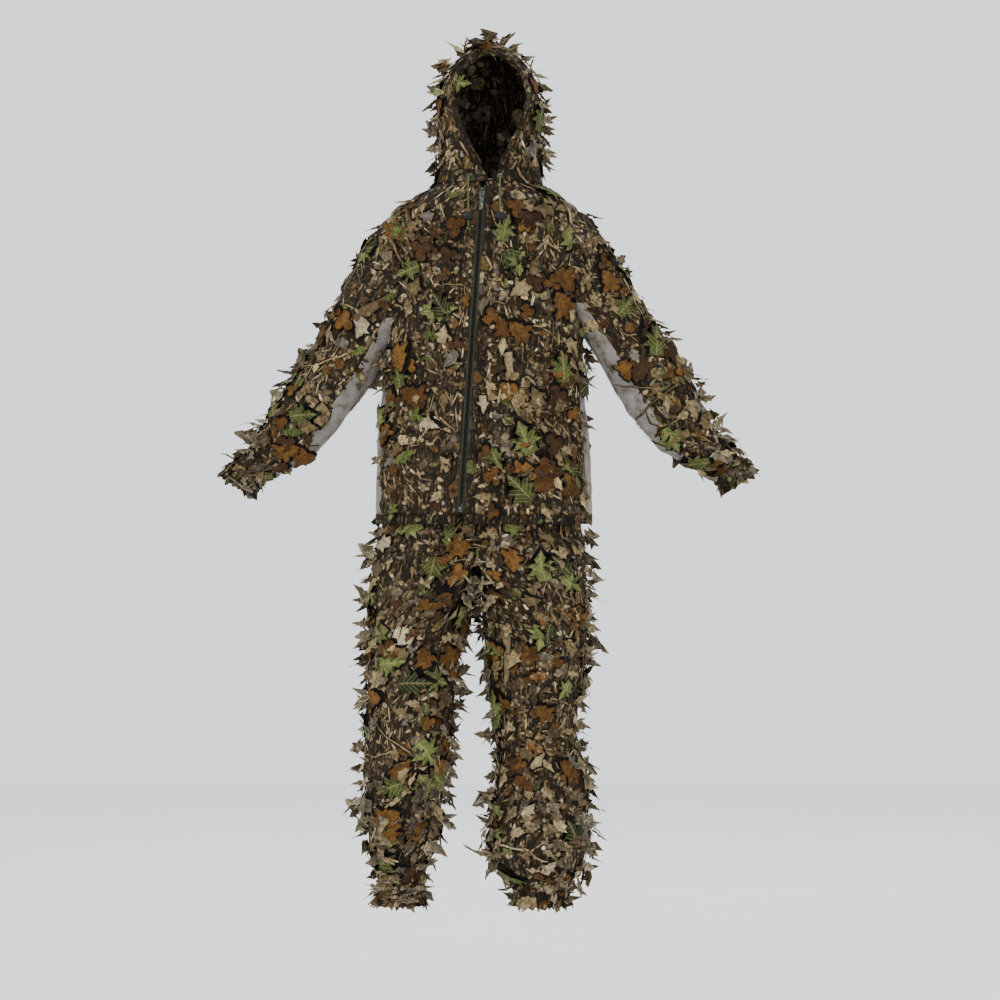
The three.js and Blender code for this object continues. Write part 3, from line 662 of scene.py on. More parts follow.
@dataclass
class Batch:
    """Many copies of one cut on a shell, each with its own size, turn, lift, bend and colour."""

    cut: Cut | Strip
    shell: Shell
    u: Array
    v: Array
    size: Array
    turn: Array
    tint: Array
    lift: Array | float = 0.0
    height: Array | float = 1.2 * MM
    curl: Array | float = 0.0
    fold: float = 0.0
    bend: Array | float = 0.0
    rim: float = 1.3
    # Weight of the rim colour: on cut flaps a pale rim, partly their pale cut edge and partly painted
    # backlight; on printed bits their dark printed outline
    frayed: Array | float = 1.0
    fits: Callable[[Array], Mask] | None = None
    overhang: float = 0.0

    def patch(self) -> Patch:
        """Lays the copies on the shell.

        Returns:
            Triangles. A cut's own point (x, y) goes along the cloth by its turned x and its y times
            the cosine of the lift, and stands off it by y times the sine, with a curl in y squared
            and a fold in |x|. The tint's fourth channel is how near the rim a point is times the copy's
            rim strength. On cut flaps that sets a pale rim, partly their pale cut edge and partly painted
            backlight through the thin cloth; on printed bits it sets their dark printed outline. Left out
            are copies with any point where fits is false, copies that pass an end of the shell by more
            than the overhang, and copies that it would stretch or squash.
        """
        shape, faces, rim = self.cut.parts()
        column = lambda value: np.broadcast_to(np.asarray(value, float), self.u.shape)[:, None]
        size, lift, turn = column(self.size), column(self.lift), column(self.turn)
        y = shape[None, :, 1] * size
        x = shape[None, :, 0] * size + column(self.bend) * size * shape[None, :, 1] ** 2
        ahead = y * np.cos(lift)
        span = self.shell.span(self.u, self.v)
        u = self.u[:, None] + (x * np.cos(turn) - ahead * np.sin(turn)) / span[:, :1]
        v = self.v[:, None] + (x * np.sin(turn) + ahead * np.cos(turn)) / span[:, 1:]
        points, normals = self.shell.at(u, v)
        kept = self.fits(points).all(1) if self.fits else np.ones(len(points), bool)
        kept &= (np.abs(v - np.clip(v, 0, 1)) * span[:, 1:]).max(1) <= self.overhang
        root = self.shell.at(self.u, self.v)[0][:, None]
        ratio = np.linalg.norm(points - root, axis=2).max(1) / np.hypot(x, ahead).max(1)
        kept &= (ratio > 0.6) & (ratio < 1.2)
        count = int(kept.sum())
        stand = column(self.height) + y * np.sin(lift) + column(self.curl) * size * shape[None, :, 1] ** 2
        stand = stand + self.fold * np.abs(shape[None, :, 0]) * size
        points = (points + normals * stand[..., None])[kept]
        points[..., 1] = pressed(points[..., 1], *Y_LIMITS)
        tint = np.empty((count, len(shape), 4))
        # On cut flaps (rim above 1) the colour lightens towards the rim and the fourth channel sets a pale
        # rim: partly pale cut edge, partly painted backlight. On printed bits the rim is their darker printed
        # edge
        tint[..., :3] = self.tint[kept, None] * (1 + (self.rim - 1) * rim[None, :, None])
        tint[..., 3] = rim * column(self.frayed)[kept]
        low, high = shape.min(0), shape.max(0)
        side = math.ceil(math.sqrt(count))
        cell = np.stack([np.arange(count) % side, np.arange(count) // side], -1)[:, None]
        bake = (cell + 0.12 + 0.76 * (shape - low) / (high - low)) / side
        outward = faces if self.shell.sense > 0 else faces[:, ::-1]
        order = (np.arange(count) * len(shape))[:, None, None] + outward
        cloth = np.broadcast_to(shape, (count,) + shape.shape)
        return Patch(points.reshape(-1, 3), order.reshape(-1, 3), cloth.reshape(-1, 2), tint.reshape(-1, 4),
                     bake.reshape(-1, 2))


def stacked(batches: Sequence[Batch]) -> Patch:
    """Joins batches and gives each its own strip of the bake map, sized by its share of copies."""
    patches = [batch.patch() for batch in batches]
    share = np.array([len(batch.u) for batch in batches], float)
    top = np.concatenate([[0], np.cumsum(share / share.sum())])
    for patch, low, high in zip(patches, top, top[1:]):
        patch.bake = patch.bake * [1, high - low] + [0, low]
    return joined(patches)


# ---- Shader graph ----------------------------------------------------------------------------------


class Value:
    """Number or colour socket; arithmetic on it adds Math nodes."""

    def __init__(self, graph: "Graph", socket: bpy.types.NodeSocket) -> None:
        """Keeps the socket and the graph that it belongs to."""
        self.graph = graph
        self.socket = socket

    def _math(self, operation: str, first: "Value | float", second: "Value | float" = 0.0) -> "Value":
        """Adds one Math node."""
        return self.graph.node("ShaderNodeMath", {"operation": operation}, {0: first, 1: second})[0]

    def __add__(self, other: "Value | float") -> "Value":
        """Sum."""
        return self._math("ADD", self, other)

    def __sub__(self, other: "Value | float") -> "Value":
        """Difference."""
        return self._math("SUBTRACT", self, other)

    def __rsub__(self, other: "Value | float") -> "Value":
        """Difference from a number."""
        return self._math("SUBTRACT", other, self)

    def __mul__(self, other: "Value | float") -> "Value":
        """Product."""
        return self._math("MULTIPLY", self, other)

    def __abs__(self) -> "Value":
        """Size without its sign."""
        return self._math("ABSOLUTE", self)

    __radd__ = __add__
    __rmul__ = __mul__

    def sine(self) -> "Value":
        """Sine of an angle in radians."""
        return self._math("SINE", self)

    def step(self, low: float, high: float) -> "Value":
        """Smooth rise from 0 at low to 1 at high; a low above high turns it round."""
        turned = low > high
        ends = (high, low) if turned else (low, high)
        rise = self.graph.node("ShaderNodeMapRange", {"interpolation_type": "SMOOTHSTEP"},
                               {"Value": self, "From Min": ends[0], "From Max": ends[1]})[0]
        return 1 - rise if turned else rise


class Graph:
    """Node tree of one material."""

    def __init__(self, name: str) -> None:
        """Starts the material with a Principled shader alone."""
        self.material = bpy.data.materials.new(name)
        self.material.use_nodes = True
        self.nodes = self.material.node_tree.nodes
        self.links = self.material.node_tree.links
        self.shader = self.nodes["Principled BSDF"]

    def node(self, kind: str, settings: dict[str, object] | None = None,
             inputs: dict[str | int, object] | None = None) -> list[Value]:
        """Adds any node.

        Args:
            kind: Its type.
            settings: Its own properties, set first.
            inputs: Numbers, colours or links of its sockets, by name or place.

        Returns:
            Its outputs.
        """
        made = self.nodes.new(kind)
        for key, value in (settings or {}).items():
            setattr(made, key, value)
        self.feed(made, inputs or {})
        return [Value(self, socket) for socket in made.outputs]

    def feed(self, made: bpy.types.Node, inputs: dict[str | int, object]) -> None:
        """Sets or links sockets of a node."""
        for key, value in inputs.items():
            socket = made.inputs[key]
            if isinstance(value, Value):
                self.links.new(value.socket, socket)
            elif socket.type == "RGBA":
                socket.default_value = (*value[:3], 1.0)
            else:
                socket.default_value = value

    def place(self, layer: str = "", scale: Sequence[float] = (1, 1, 1), turn: float = 0.0) -> Value:
        """Object coordinates, or a UV layer's, scaled and turned about Z."""
        if layer:
            vector = self.node("ShaderNodeUVMap", {"uv_map": layer})[0]
        else:
            vector = self.node("ShaderNodeTexCoord")[3]
        return self.node("ShaderNodeMapping", {}, {
            "Vector": vector, "Scale": tuple(scale), "Rotation": (0, 0, turn)})[0]

    def noise(self, vector: Value, scale: float, detail: float = 3, distortion: float = 0) -> Value:
        """Noise from 0 to 1."""
        return self.node("ShaderNodeTexNoise", {}, {
            "Vector": vector, "Scale": scale, "Detail": detail, "Distortion": distortion})[0]

    def cells(self, vector: Value, scale: float, feature: str = "F1") -> list[Value]:
        """Voronoi distance, colour and place."""
        return self.node("ShaderNodeTexVoronoi", {"feature": feature}, {"Vector": vector, "Scale": scale})[:3]

    def warped(self, vector: Value, scale: float, reach: float) -> Value:
        """Coordinates pushed about by noise."""
        push = self.node("ShaderNodeTexNoise", {}, {"Vector": vector, "Scale": scale, "Detail": 2})[1]
        centred = self.node("ShaderNodeVectorMath", {"operation": "SUBTRACT"},
                            {0: push, 1: (0.5, 0.5, 0.5)})[0]
        return self.node("ShaderNodeVectorMath", {"operation": "MULTIPLY_ADD"}, {
            0: centred, 1: (reach, reach, reach), 2: vector})[0]

    def split(self, vector: Value) -> list[Value]:
        """X, Y and Z of a vector."""
        return self.node("ShaderNodeSeparateXYZ", {}, {0: vector})

    def mix(self, share: Value | float, first: object, second: object, blend: str = "MIX") -> Value:
        """Colour between two colours."""
        return self.node("ShaderNodeMix", {"data_type": "RGBA", "blend_type": blend}, {
            0: share, 6: first, 7: second})[2]

    def ramp(self, value: Value, stops: Sequence[tuple[float, Colour]]) -> Value:
        """Colour ramp through stops."""
        made = self.nodes.new("ShaderNodeValToRGB")
        elements = made.color_ramp.elements
        while len(elements) < len(stops):
            elements.new(0.5)
        for element, (at, colour) in zip(elements, stops):
            element.position = at
            element.color = (*colour, 1.0)
        self.feed(made, {0: value})
        return Value(self, made.outputs[0])

    def done(self, height: Value | None = None, reach: float = 0.0, **inputs: object) -> bpy.types.Material:
        """Feeds the shader.

        Args:
            height: Relief from 0 to 1, or None.
            reach: What 1 of it stands for, in metres.
            inputs: The shader's sockets, with _ for a space.

        Returns:
            The material.
        """
        if height is not None:
            inputs["Normal"] = self.node("ShaderNodeBump", {}, {
                "Strength": 0.8, "Distance": reach, "Height": height})[0]
        self.feed(self.shader, {key.replace("_", " "): value for key, value in inputs.items()})
        return self.material


# ---- Finishes --------------------------------------------------------------------------------------


@dataclass(frozen=True)
class PrintedCloth:
    """Woodland litter printed on thin cloth: earth, bark strokes, chips, stones and leaf shapes."""

    name: str = "leafy_cloth"
    layer: str = "cloth"
    stone: float = 62.0
    leaf: float = 24.0
    shade: float = DYE

    def make(self) -> bpy.types.Material:
        """Builds the finish."""
        g = Graph(self.name)
        place = g.place(self.layer)
        bent = g.warped(place, 26, 0.012)
        patch = g.noise(place, 8, 2)
        grain = g.noise(bent, 150, 4)
        strokes = [g.noise(g.place(self.layer, (240, 26, 60), turn), 1, 3, 0.6) for turn in (0.5, -0.9)]
        bark = g.mix(patch.step(0.45, 0.55), strokes[0], strokes[1])
        tone = bark * 0.62 + grain * 0.38
        colour = g.ramp(tone, [
            (0.47, SOIL), (0.52, BARK_DARK), (0.565, BARK), (0.61, TAN), (0.67, STRAW), (0.76, BEIGE)])
        distance, hue, _ = g.cells(bent, self.stone)
        value = g.split(hue)
        stones = distance.step(0.62, 0.5) * patch.step(0.52, 0.58)
        rim = distance.step(0.8, 0.6) * patch.step(0.52, 0.58)
        pebble = g.ramp(value[0], [(0.0, BARK), (0.35, STONE), (0.7, TAN), (1.0, BEIGE)])
        pebble = g.mix(grain.step(0.4, 0.7), g.mix(0.45, pebble, BARK_DARK), pebble)
        colour = g.mix(rim, colour, SOIL)
        colour = g.mix(stones, colour, pebble)
        away, tint, _ = g.cells(g.warped(place, 60, 0.014), self.leaf)
        kind = g.split(tint)
        leaves = away.step(0.36, 0.33) * kind[0].step(0.5, 0.52)
        shadow = away.step(0.5, 0.38) * kind[0].step(0.5, 0.52)
        blade = g.ramp(kind[1], [(0.0, RUST), (0.35, AMBER), (0.5, OLIVE), (0.7, FRESH), (0.85, STRAW)])
        blade = g.mix(grain.step(0.42, 0.6), g.mix(0.6, blade, BARK_DARK), blade)
        colour = g.mix(shadow, colour, SOIL)
        colour = g.mix(leaves, colour, blade)
        fine = g.noise(place, 900, 2)
        colour = g.mix(0.04, colour, g.mix(fine, SOIL, BEIGE))
        relief = grain * 0.6 + fine * 0.25 + stones * 0.15
        return g.done(relief, 0.0012, Base_Color=g.mix(self.shade, (0, 0, 0), colour),
                      Roughness=0.8 + grain * 0.15, Specular_IOR_Level=0.12)


@dataclass(frozen=True)
class CutCloth:
    """One bit of printed cloth: its own colour, mottled, some with veins, with a rim in the edge colour.

    The rim is the dark printed outline of printed bits. On cut flaps it is pale: partly their pale cut
    edge and partly painted backlight, light shining through the thin cloth.
    """

    name: str
    veins: float = 0.0
    mottle: float = 0.5
    # Pale default edge, used by the cut flaps: partly their pale cut edge, partly painted backlight through
    # the thin cloth
    edge: Colour = PALE
    edge_share: float = 0.5

    def make(self) -> bpy.types.Material:
        """Builds the finish."""
        g = Graph(self.name)
        tint = g.node("ShaderNodeAttribute", {"attribute_name": "tint"})
        place = g.place()
        mottle = g.noise(place, 130, 3, 0.8)
        cloud = g.noise(place, 34, 2)
        dark = g.mix(0.72, tint[0], SOIL)
        colour = g.mix(mottle.step(0.56, 0.44) * self.mottle, tint[0], dark)
        if self.veins:
            x, y, _ = g.split(g.place("cloth"))
            rib = abs(x).step(0.03, 0.012)
            side = ((y - abs(x) * 0.9) * 44).sine().step(0.82, 0.97)
            lines = g.mix(rib, side, (1, 1, 1))
            light = g.mix(0.5, tint[0], STRAW)
            red, green, _ = g.split(tint[0])
            fresh = (green - red).step(0.0, 0.012) * self.veins + 0.06
            colour = g.mix(lines * fresh, colour, light)
            colour = g.mix(cloud.step(0.5, 0.66) * 0.5, colour, dark)
        else:
            spots = g.cells(g.warped(place, 90, 0.01), 95)
            patch = spots[0].step(0.42, 0.3) * g.split(spots[1])[0].step(0.55, 0.6)
            other = g.ramp(g.split(spots[1])[1], [(0.0, BARK_DARK), (0.3, STRAW), (0.55, RUST), (0.8, STONE)])
            colour = g.mix(patch * 0.8, colour, other)
        # Rim in the edge colour: on cut flaps a pale rim, partly pale cut edge and partly painted backlight;
        # on printed bits their dark printed outline
        rim = tint[3].step(0.72, 0.96) * self.edge_share
        colour = g.mix(rim, colour, self.edge)
        weave = g.noise(place, 1100, 1)
        return g.done(mottle * 0.6 + weave * 0.4, 0.0006, Base_Color=colour,
                      Roughness=0.78 + mottle * 0.18, Specular_IOR_Level=0.12)


@dataclass(frozen=True)
class SheerMesh:
    """Thin knitted net with a faint print; its holes are squares of 1.5 mm."""

    pitch: float = 0.0015

    def make(self) -> bpy.types.Material:
        """Builds the finish."""
        g = Graph("sheer_mesh")
        place = g.place("cloth")
        x, y, _ = g.split(place)
        threads = (x * (TAU / self.pitch)).sine() * (y * (TAU / self.pitch)).sine()
        hole = threads.step(0.2, 0.6)
        print_ = g.noise(g.warped(place, 30, 0.02), 38, 3)
        patch = g.noise(place, 12, 2)
        cloth, faded = linear(132, 126, 120), linear(154, 148, 141)
        colour = g.ramp(print_, [(0.36, BARK), (0.45, STONE), (0.54, cloth), (0.75, faded)])
        colour = g.mix(patch.step(0.4, 0.6) * 0.5 + 0.1, colour, cloth)
        return g.done(threads, 0.0003, Base_Color=colour, Roughness=0.7 + print_ * 0.2,
                      Alpha=1 - hole * 0.75)


@dataclass(frozen=True)
class Rib:
    """Woven elastic: raised ribs along its height."""

    def make(self) -> bpy.types.Material:
        """Builds the finish."""
        g = Graph("elastic")
        place = g.place()
        _, _, z = g.split(place)
        ribs = (z * (TAU / 0.0022)).sine() * 0.5 + 0.5
        fuzz = g.noise(place, 700, 2)
        colour = g.mix(ribs * 0.6 + fuzz * 0.4, linear(26, 22, 17), linear(70, 62, 50))
        return g.done(ribs, 0.0005, Base_Color=colour, Roughness=0.75 + fuzz * 0.2)


@dataclass(frozen=True)
class Braid:
    """Braided cord: two sets of strands that cross, in dark green with darker flecks."""

    lay: float = 0.0042

    def make(self) -> bpy.types.Material:
        """Builds the finish."""
        g = Graph("cord")
        x, y, _ = g.split(g.place("cloth"))
        one = (x * (TAU / 0.00235) + y * (TAU / self.lay)).sine()
        two = (x * (TAU / 0.00235) - y * (TAU / self.lay)).sine()
        strands = one * two * 0.5 + 0.5
        fleck = g.noise(g.place(), 420, 2)
        colour = g.mix(strands * 0.8 + fleck * 0.2, linear(30, 36, 15), linear(92, 106, 52))
        return g.done(strands, 0.0005, Base_Color=colour, Roughness=0.7 + fleck * 0.2)


@dataclass(frozen=True)
class Moulded:
    """Black moulded plastic with a fine matt grain and paler scuffs."""

    def make(self) -> bpy.types.Material:
        """Builds the finish."""
        g = Graph("black_plastic")
        place = g.place()
        grain = g.noise(place, 1500, 2)
        scuff = g.noise(place, 210, 4, 1.2).step(0.58, 0.72)
        colour = g.mix(scuff * 0.35, linear(10, 9, 11), linear(52, 50, 54))
        return g.done(grain, 0.00012, Base_Color=colour, Roughness=0.38 + scuff * 0.3,
                      Specular_IOR_Level=0.25)


@dataclass(frozen=True)
class PaintedMetal:
    """Dark painted zinc, worn to grey metal in small chips."""

    def make(self) -> bpy.types.Material:
        """Builds the finish."""
        g = Graph("dark_metal")
        place = g.place()
        wear = g.noise(place, 320, 5, 0.8).step(0.56, 0.64)
        grain = g.noise(place, 900, 2)
        colour = g.mix(wear, linear(58, 58, 48), linear(150, 146, 132))
        return g.done(grain, 0.00015, Base_Color=colour, Metallic=0.35 + wear * 0.6,
                      Roughness=0.48 - wear * 0.14)


@dataclass(frozen=True)
class Tape:
    """Zip tape: a fine twill, worn paler along the lines of thread."""

    name: str = "zip_tape"
    light: Colour = linear(58, 58, 46)
    dark: Colour = linear(26, 27, 21)

    def make(self) -> bpy.types.Material:
        """Builds the finish."""
        g = Graph(self.name)
        place = g.place()
        x, _, z = g.split(place)
        twill = ((x + z) * (TAU / 0.0013)).sine() * 0.5 + 0.5
        cloud = g.noise(place, 90, 3)
        colour = g.mix(twill * 0.45 + cloud * 0.55, self.dark, self.light)
        return g.done(twill, 0.0003, Base_Color=colour, Roughness=0.72 + cloud * 0.2,
                      Specular_IOR_Level=0.2)


@dataclass(frozen=True)
class StudioFloor:
    """Pale matt floor."""

    def make(self) -> bpy.types.Material:
        """Builds the finish."""
        g = Graph("studio_floor")
        cloud = g.noise(g.place(), 2, 2)
        return g.done(Base_Color=g.mix(cloud, linear(236, 236, 236), linear(243, 243, 243)), Roughness=0.9)


class Finishes:
    """The finishes, each made once."""

    def __init__(self) -> None:
        """Makes them all."""
        self.cloth = PrintedCloth().make()
        # Trim: the same print made darker (0.46 in place of DYE); on the hem this dark band is painted shade
        # of the hem's gather
        self.trim = PrintedCloth("trim_cloth", stone=95, leaf=60, shade=0.46).make()
        # Cut flaps take the pale edge, which is partly painted backlight
        self.flap = CutCloth("cut_flaps", mottle=0.75).make()
        self.leaf = CutCloth("printed_leaves", veins=0.6, mottle=0.6, edge=BARK_DARK, edge_share=0.35).make()
        self.litter = CutCloth("printed_litter", mottle=0.5, edge=BARK_DARK, edge_share=0.55).make()
        self.sheer = SheerMesh().make()
        self.elastic = Rib().make()
        self.cord = Braid().make()
        self.plastic = Moulded().make()
        self.metal = PaintedMetal().make()
        self.tape = Tape().make()
        self.coil = Tape("zip_coil", linear(56, 56, 48), linear(18, 18, 14)).make()

    def dress_nodes(self) -> None:
        """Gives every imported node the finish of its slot."""
        chosen = {"leafy_cloth": self.cloth, "sheer_mesh": self.sheer, "elastic": self.elastic,
                  "cord": self.cord, "black_plastic": self.plastic, "zip_tape": self.tape,
                  "dark_metal": self.metal}
        for part in frame["record"]["subparts"]:
            mesh = frame["nodes"][part["node"]].data
            mesh.materials.clear()
            mesh.materials.append(chosen[part["material_slot"]])


# ---- Garment surfaces ------------------------------------------------------------------------------

INSET = 5 * MM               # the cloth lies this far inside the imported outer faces
CLOTH_WALL = 0.9 * MM
GRID = 6 * MM                # size of the cloth's own mesh
ZIP_EDGE = 7 * MM            # the fronts end this far from the zip's middle line
HEM_GAP = 8 * MM             # the hem ends this far from the zip's middle line
PLACKET = 10 * MM            # the cloth beside the zip rises this far, over the edge of its tape
NECK_X = 0.009
SIDE_Y = 0.002
BODY_ROWS = [
    (-650, 217, 132, 120, -2), (-632, 217, 132, 120, -2), (-540, 215, 127, 119, -3),
    (-420, 205, 119, 114, -3), (-300, 198, 112, 112, -1), (-180, 196, 105, 110, 0),
    (-100, 196, 101, 104, 2), (-55, 188, 98, 96, 4), (-22, 150, 96, 92, 6), (-2, 112, 95, 96, 7),
    (24, 104, 95, 103, 8), (70, 104, 100, 113, 9), (145, 104, 104, 120, 9), (205, 92, 96, 112, 9),
    (245, 66, 72, 84, 9), (270, 34, 40, 46, 9), (281, 12, 14, 15, 9), (284, 6, 6, 6, 9)]
FACE_OUTLINE = [(7, 8), (-12, 40), (-34, 80), (-52, 122), (-60, 162), (-53, 200), (-33, 228), (11, 250),
                (55, 228), (75, 200), (82, 162), (74, 122), (56, 80), (34, 40), (15, 8)]


def zip_x(z: Array) -> Array:
    """X of the zip's middle line at a height: the straight line from its foot to its head."""
    foot, head = (-0.046, -0.628), (-0.004, -0.006)
    return foot[0] + (z - foot[1]) * (head[0] - foot[0]) / (head[1] - foot[1])


def zip_away(points: Array) -> Array:
    """Distance in X from the zip's middle line."""
    return np.abs(points[..., 0] - zip_x(points[..., 2]))


class Torso:
    """Body, collar and hood as one surface; u starts at the left side and runs over the back."""

    TABLE = (470, 560)

    def __init__(self) -> None:
        """Works out the surface with its drapes."""
        self.run = Rows(BODY_ROWS)
        rows, columns = self.TABLE
        v = np.linspace(0, 1, rows)[:, None]
        u = np.arange(columns)[None, :] / columns
        z, half, front, back, shift = np.moveaxis(self.run(v), -1, 0)
        x, y = superellipse(TAU * u, half - INSET, front - INSET, back - INSET)
        points = np.stack([x + shift, y, z + 0 * x], -1)
        drapes = Folds(3, (5, 11), (0.4, 2.4), 9 * MM)(u, v)
        wrinkles = Folds(8, (2, 9), (9, 22), 3.5 * MM)(u, v)
        hang = 0.35 + 0.65 * smooth(z, -0.2, -0.6)
        still = smooth(z, 0.0, -0.06) * smooth(zip_away(points), 0.012, 0.07)
        calm = np.where(y < 0, 0.12 + 0.88 * still, np.where(z < 0, 1, 0.6))
        crown = smooth(z, 0.275, 0.2)
        placket = np.where(y < 0, smooth(zip_away(points), 0.024, 0.013) * smooth(z, 0.001, -0.005), 0)
        self.shell = Shell(points, (drapes * hang + wrinkles) * calm * crown + PLACKET * placket)

    def v(self, z: float) -> float:
        """v at a height in metres."""
        return self.run.find(0, z)

    def edge(self, x: Array, v: Array) -> Array:
        """u on the front where the surface has an x: the turn whose cosine is |x/half|^(n/2)."""
        row = self.run(v)
        across = np.clip((x - row[..., 4]) / (row[..., 1] - INSET), -1, 1)
        cosine = np.sign(across) * np.abs(across) ** (SQUARENESS / 2)
        return 1 - np.arccos(cosine) / TAU

    def seam(self, y: float, v: Array) -> Array:
        """Distance in u from the side line to where the surface has a y: sine is |y/depth|^(n/2)."""
        row = self.run(v)
        depth = np.where(y < 0, row[..., 2], row[..., 3]) - INSET
        return np.sign(y) * np.arcsin(np.clip(np.abs(y) / depth, 0, 1) ** (SQUARENESS / 2)) / TAU

    def patch(self, low: float, high: float, start: Callable[[Array, Array], Array],
              end: Callable[[Array, Array], Array], rise: float = 0.0, shift: float = 0.0) -> Patch:
        """Cloth between two heights and two edges, each edge a function of v and z that gives u."""
        v = np.linspace(self.v(low), self.v(high), max(4, round((high - low) / GRID)))
        z = self.run(v)[:, 0]
        first, last = start(v, z), end(v, z)
        width = float((np.abs(last - first) * self.shell.span(first, v)[:, 0]).max())
        columns = max(6, round(width / GRID))
        t = np.linspace(0, 1, columns)[None, :]
        u = first[:, None] + (last - first)[:, None] * t
        return panel(self.shell, u, v[:, None] + 0 * u, rise, shift)

    def outside(self, points: Array, margin: float) -> Mask:
        """Whether points lie outside the body by a margin: the ring's own measure of each is above 1."""
        z = np.clip(points[..., 2], self.run.table[0, 0], self.run.table[-1, 0])
        row = np.stack([np.interp(z, self.run.table[:, 0], column) for column in self.run.table.T], -1)
        depth = np.where(points[..., 1] < 0, row[..., 2], row[..., 3]) + margin
        reach = np.abs((points[..., 0] - row[..., 4]) / (row[..., 1] + margin)) ** SQUARENESS
        reach = reach + np.abs(points[..., 1] / depth) ** SQUARENESS
        return (reach > 1) | (points[..., 2] < self.run.table[0, 0]) | (points[..., 2] > -0.002)


SLEEVE_ROWS = {
    Side.RIGHT: [(-96, -66, 56), (-141, -108, 76), (-205, -215, 77), (-262, -324, 74), (-322, -412, 71),
                 (-378, -488, 65), (-430, -534, 48), (-460, -552, 38), (-473, -570, 37)],
    Side.LEFT: [(100, -62, 56), (142, -93, 75), (198, -186, 76), (255, -270, 73), (332, -396, 76),
                (380, -468, 66), (428, -516, 53), (474, -545, 38), (487, -563, 37)],
}
LEG_ROWS = {
    Side.RIGHT: [(-120, -536, 102), (-120, -700, 102), (-131, -800, 104), (-140, -932, 94), (-152, -1105, 91),
                 (-160, -1193, 87), (-161, -1262, 73), (-163, -1325, 52), (-164, -1352, 46),
                 (-164, -1376, 50)],
    Side.LEFT: [(100, -536, 104), (100, -700, 104), (100, -800, 109), (97, -932, 102), (99, -1052, 84),
                (107, -1110, 92), (105, -1190, 103), (104, -1262, 109), (107, -1318, 88), (109, -1352, 54),
                (109, -1376, 56)],
}
SEAT_ROWS = [
    (-536, 160, 94, 90, -5), (-560, 166, 98, 92, -5), (-610, 188, 106, 98, -6), (-652, 198, 114, 106, -7),
    (-690, 210, 117, 114, -8), (-730, 216, 118, 122, -9), (-790, 212, 112, 118, -10)]


def outside_tube(points: Array, rows: Sequence[Sequence[float]], depth: float, margin: float) -> Mask:
    """Whether points lie outside a tube through rows of x, height and radius.

    Args:
        points: The points.
        rows: Rows in millimetres.
        depth: Front-to-back radius over the radius seen from the front.
        margin: Distance to keep.

    Returns:
        True where the nearest place on every stretch of the axis is further than the radius there.
    """
    table = np.array(rows) * MM
    flat = points[..., [0, 2]]
    result = np.ones(points.shape[:-1], bool)
    for a, b in zip(table, table[1:]):
        step = b[:2] - a[:2]
        t = np.clip(((flat - a[:2]) @ step) / (step @ step), 0, 1)
        away = flat - a[:2] - t[..., None] * step
        reach = np.hypot(np.linalg.norm(away, axis=-1), points[..., 1] / depth)
        result &= reach > a[2] + t * (b[2] - a[2]) - INSET + margin
    return result


class Limb:
    """Sleeve or leg: a tube whose u starts below the arm, or at the outside of the left leg.

    Its cloth ends at the last row but one; the last row carries only the flaps that hang over the cuff.
    """

    def __init__(self, side: Side, rows: Sequence[Sequence[float]], lean: float, depth: float,
                 folds: Sequence[tuple[Folds, Callable[[Array, Array], Array]]]) -> None:
        """Works out the surface.

        Args:
            side: The wearer's side.
            rows: Rows of x, height and radius in millimetres.
            lean: Slope of the rings, in degrees outward.
            depth: Front-to-back radius over the radius seen from the front.
            folds: Creases, each with how strong it is by u and v.
        """
        self.side, self.depth = side, depth
        self.run = Rows(rows)
        self.end = self.run.find(1, rows[-2][1] * MM)
        u = np.arange(360)[None, :] / 360
        v = np.linspace(0, 1, 420)[:, None]
        points = self.ring(u, v, lean)
        lift = sum(fold(u, v) * strength(u, v) for fold, strength in folds)
        self.shell = Shell(points, lift + np.zeros(points.shape[:2]))

    def ring(self, u: Array, v: Array, lean: float) -> Array:
        """Ellipses across the axis: the middle plus r cos in the ring's plane and r sin along Y."""
        x, z, radius = np.moveaxis(self.run(v), -1, 0)
        tilt = math.radians(lean) * self.side.value
        across = -self.side.value * (radius - INSET) * np.cos(TAU * u)
        y = (radius * self.depth - INSET) * np.sin(TAU * u)
        return np.stack([x + across * math.cos(tilt), y + 0 * x, z + across * math.sin(tilt)], -1)

    def patch(self, start: Callable[[Array], Array], end: Callable[[Array], Array], low: float = 0.0,
              shift: float = 0.0) -> Patch:
        """Cloth from a place along the tube to its end, between edges that are functions of v giving u."""
        v = np.linspace(low, self.end, round((self.end - low) * self.run.length / GRID))
        first, last = start(v), end(v)
        width = float((np.abs(last - first) * self.shell.span(first, v)[:, 0]).max())
        t = np.linspace(0, 1, max(6, round(width / GRID)))[None, :]
        u = first[:, None] + (last - first)[:, None] * t
        return panel(self.shell, u, v[:, None] + 0 * u, shift=shift)


class Leg(Limb):
    """Leg of the trousers: half of the seat's ring at the top, a round tube from the thigh down."""

    CROTCH_X = -0.017

    def ring(self, u: Array, v: Array, lean: float) -> Array:
        """Mixes the half ring of the seat, closed along the centre seam, into the leg's own ring."""
        x, z, radius = np.moveaxis(self.run(v), -1, 0)
        cosine, sine = np.cos(TAU * u), np.sin(TAU * u)
        low = [x + (radius - INSET) * cosine, (radius * self.depth - INSET) * sine]
        seat = np.array(SEAT_ROWS)[::-1] * MM
        half, front, back, shift = (np.interp(z, seat[:, 0], seat[:, k]) for k in (1, 2, 3, 4))
        out = self.side.value
        width = np.abs(shift + out * (half - INSET) - self.CROTCH_X)
        power = 2 / SQUARENESS
        away = np.where(cosine * out > 0, width * np.abs(cosine) ** power, 0)
        deep = np.where(sine < 0, front, back) - INSET
        top = [self.CROTCH_X + out * away, deep * np.sign(sine) * np.abs(sine) ** power]
        share = smooth(z, -0.9, -0.7)
        mixed = [a + (b - a) * share for a, b in zip(low, top)]
        return np.stack([mixed[0], mixed[1], z + 0 * mixed[0]], -1)


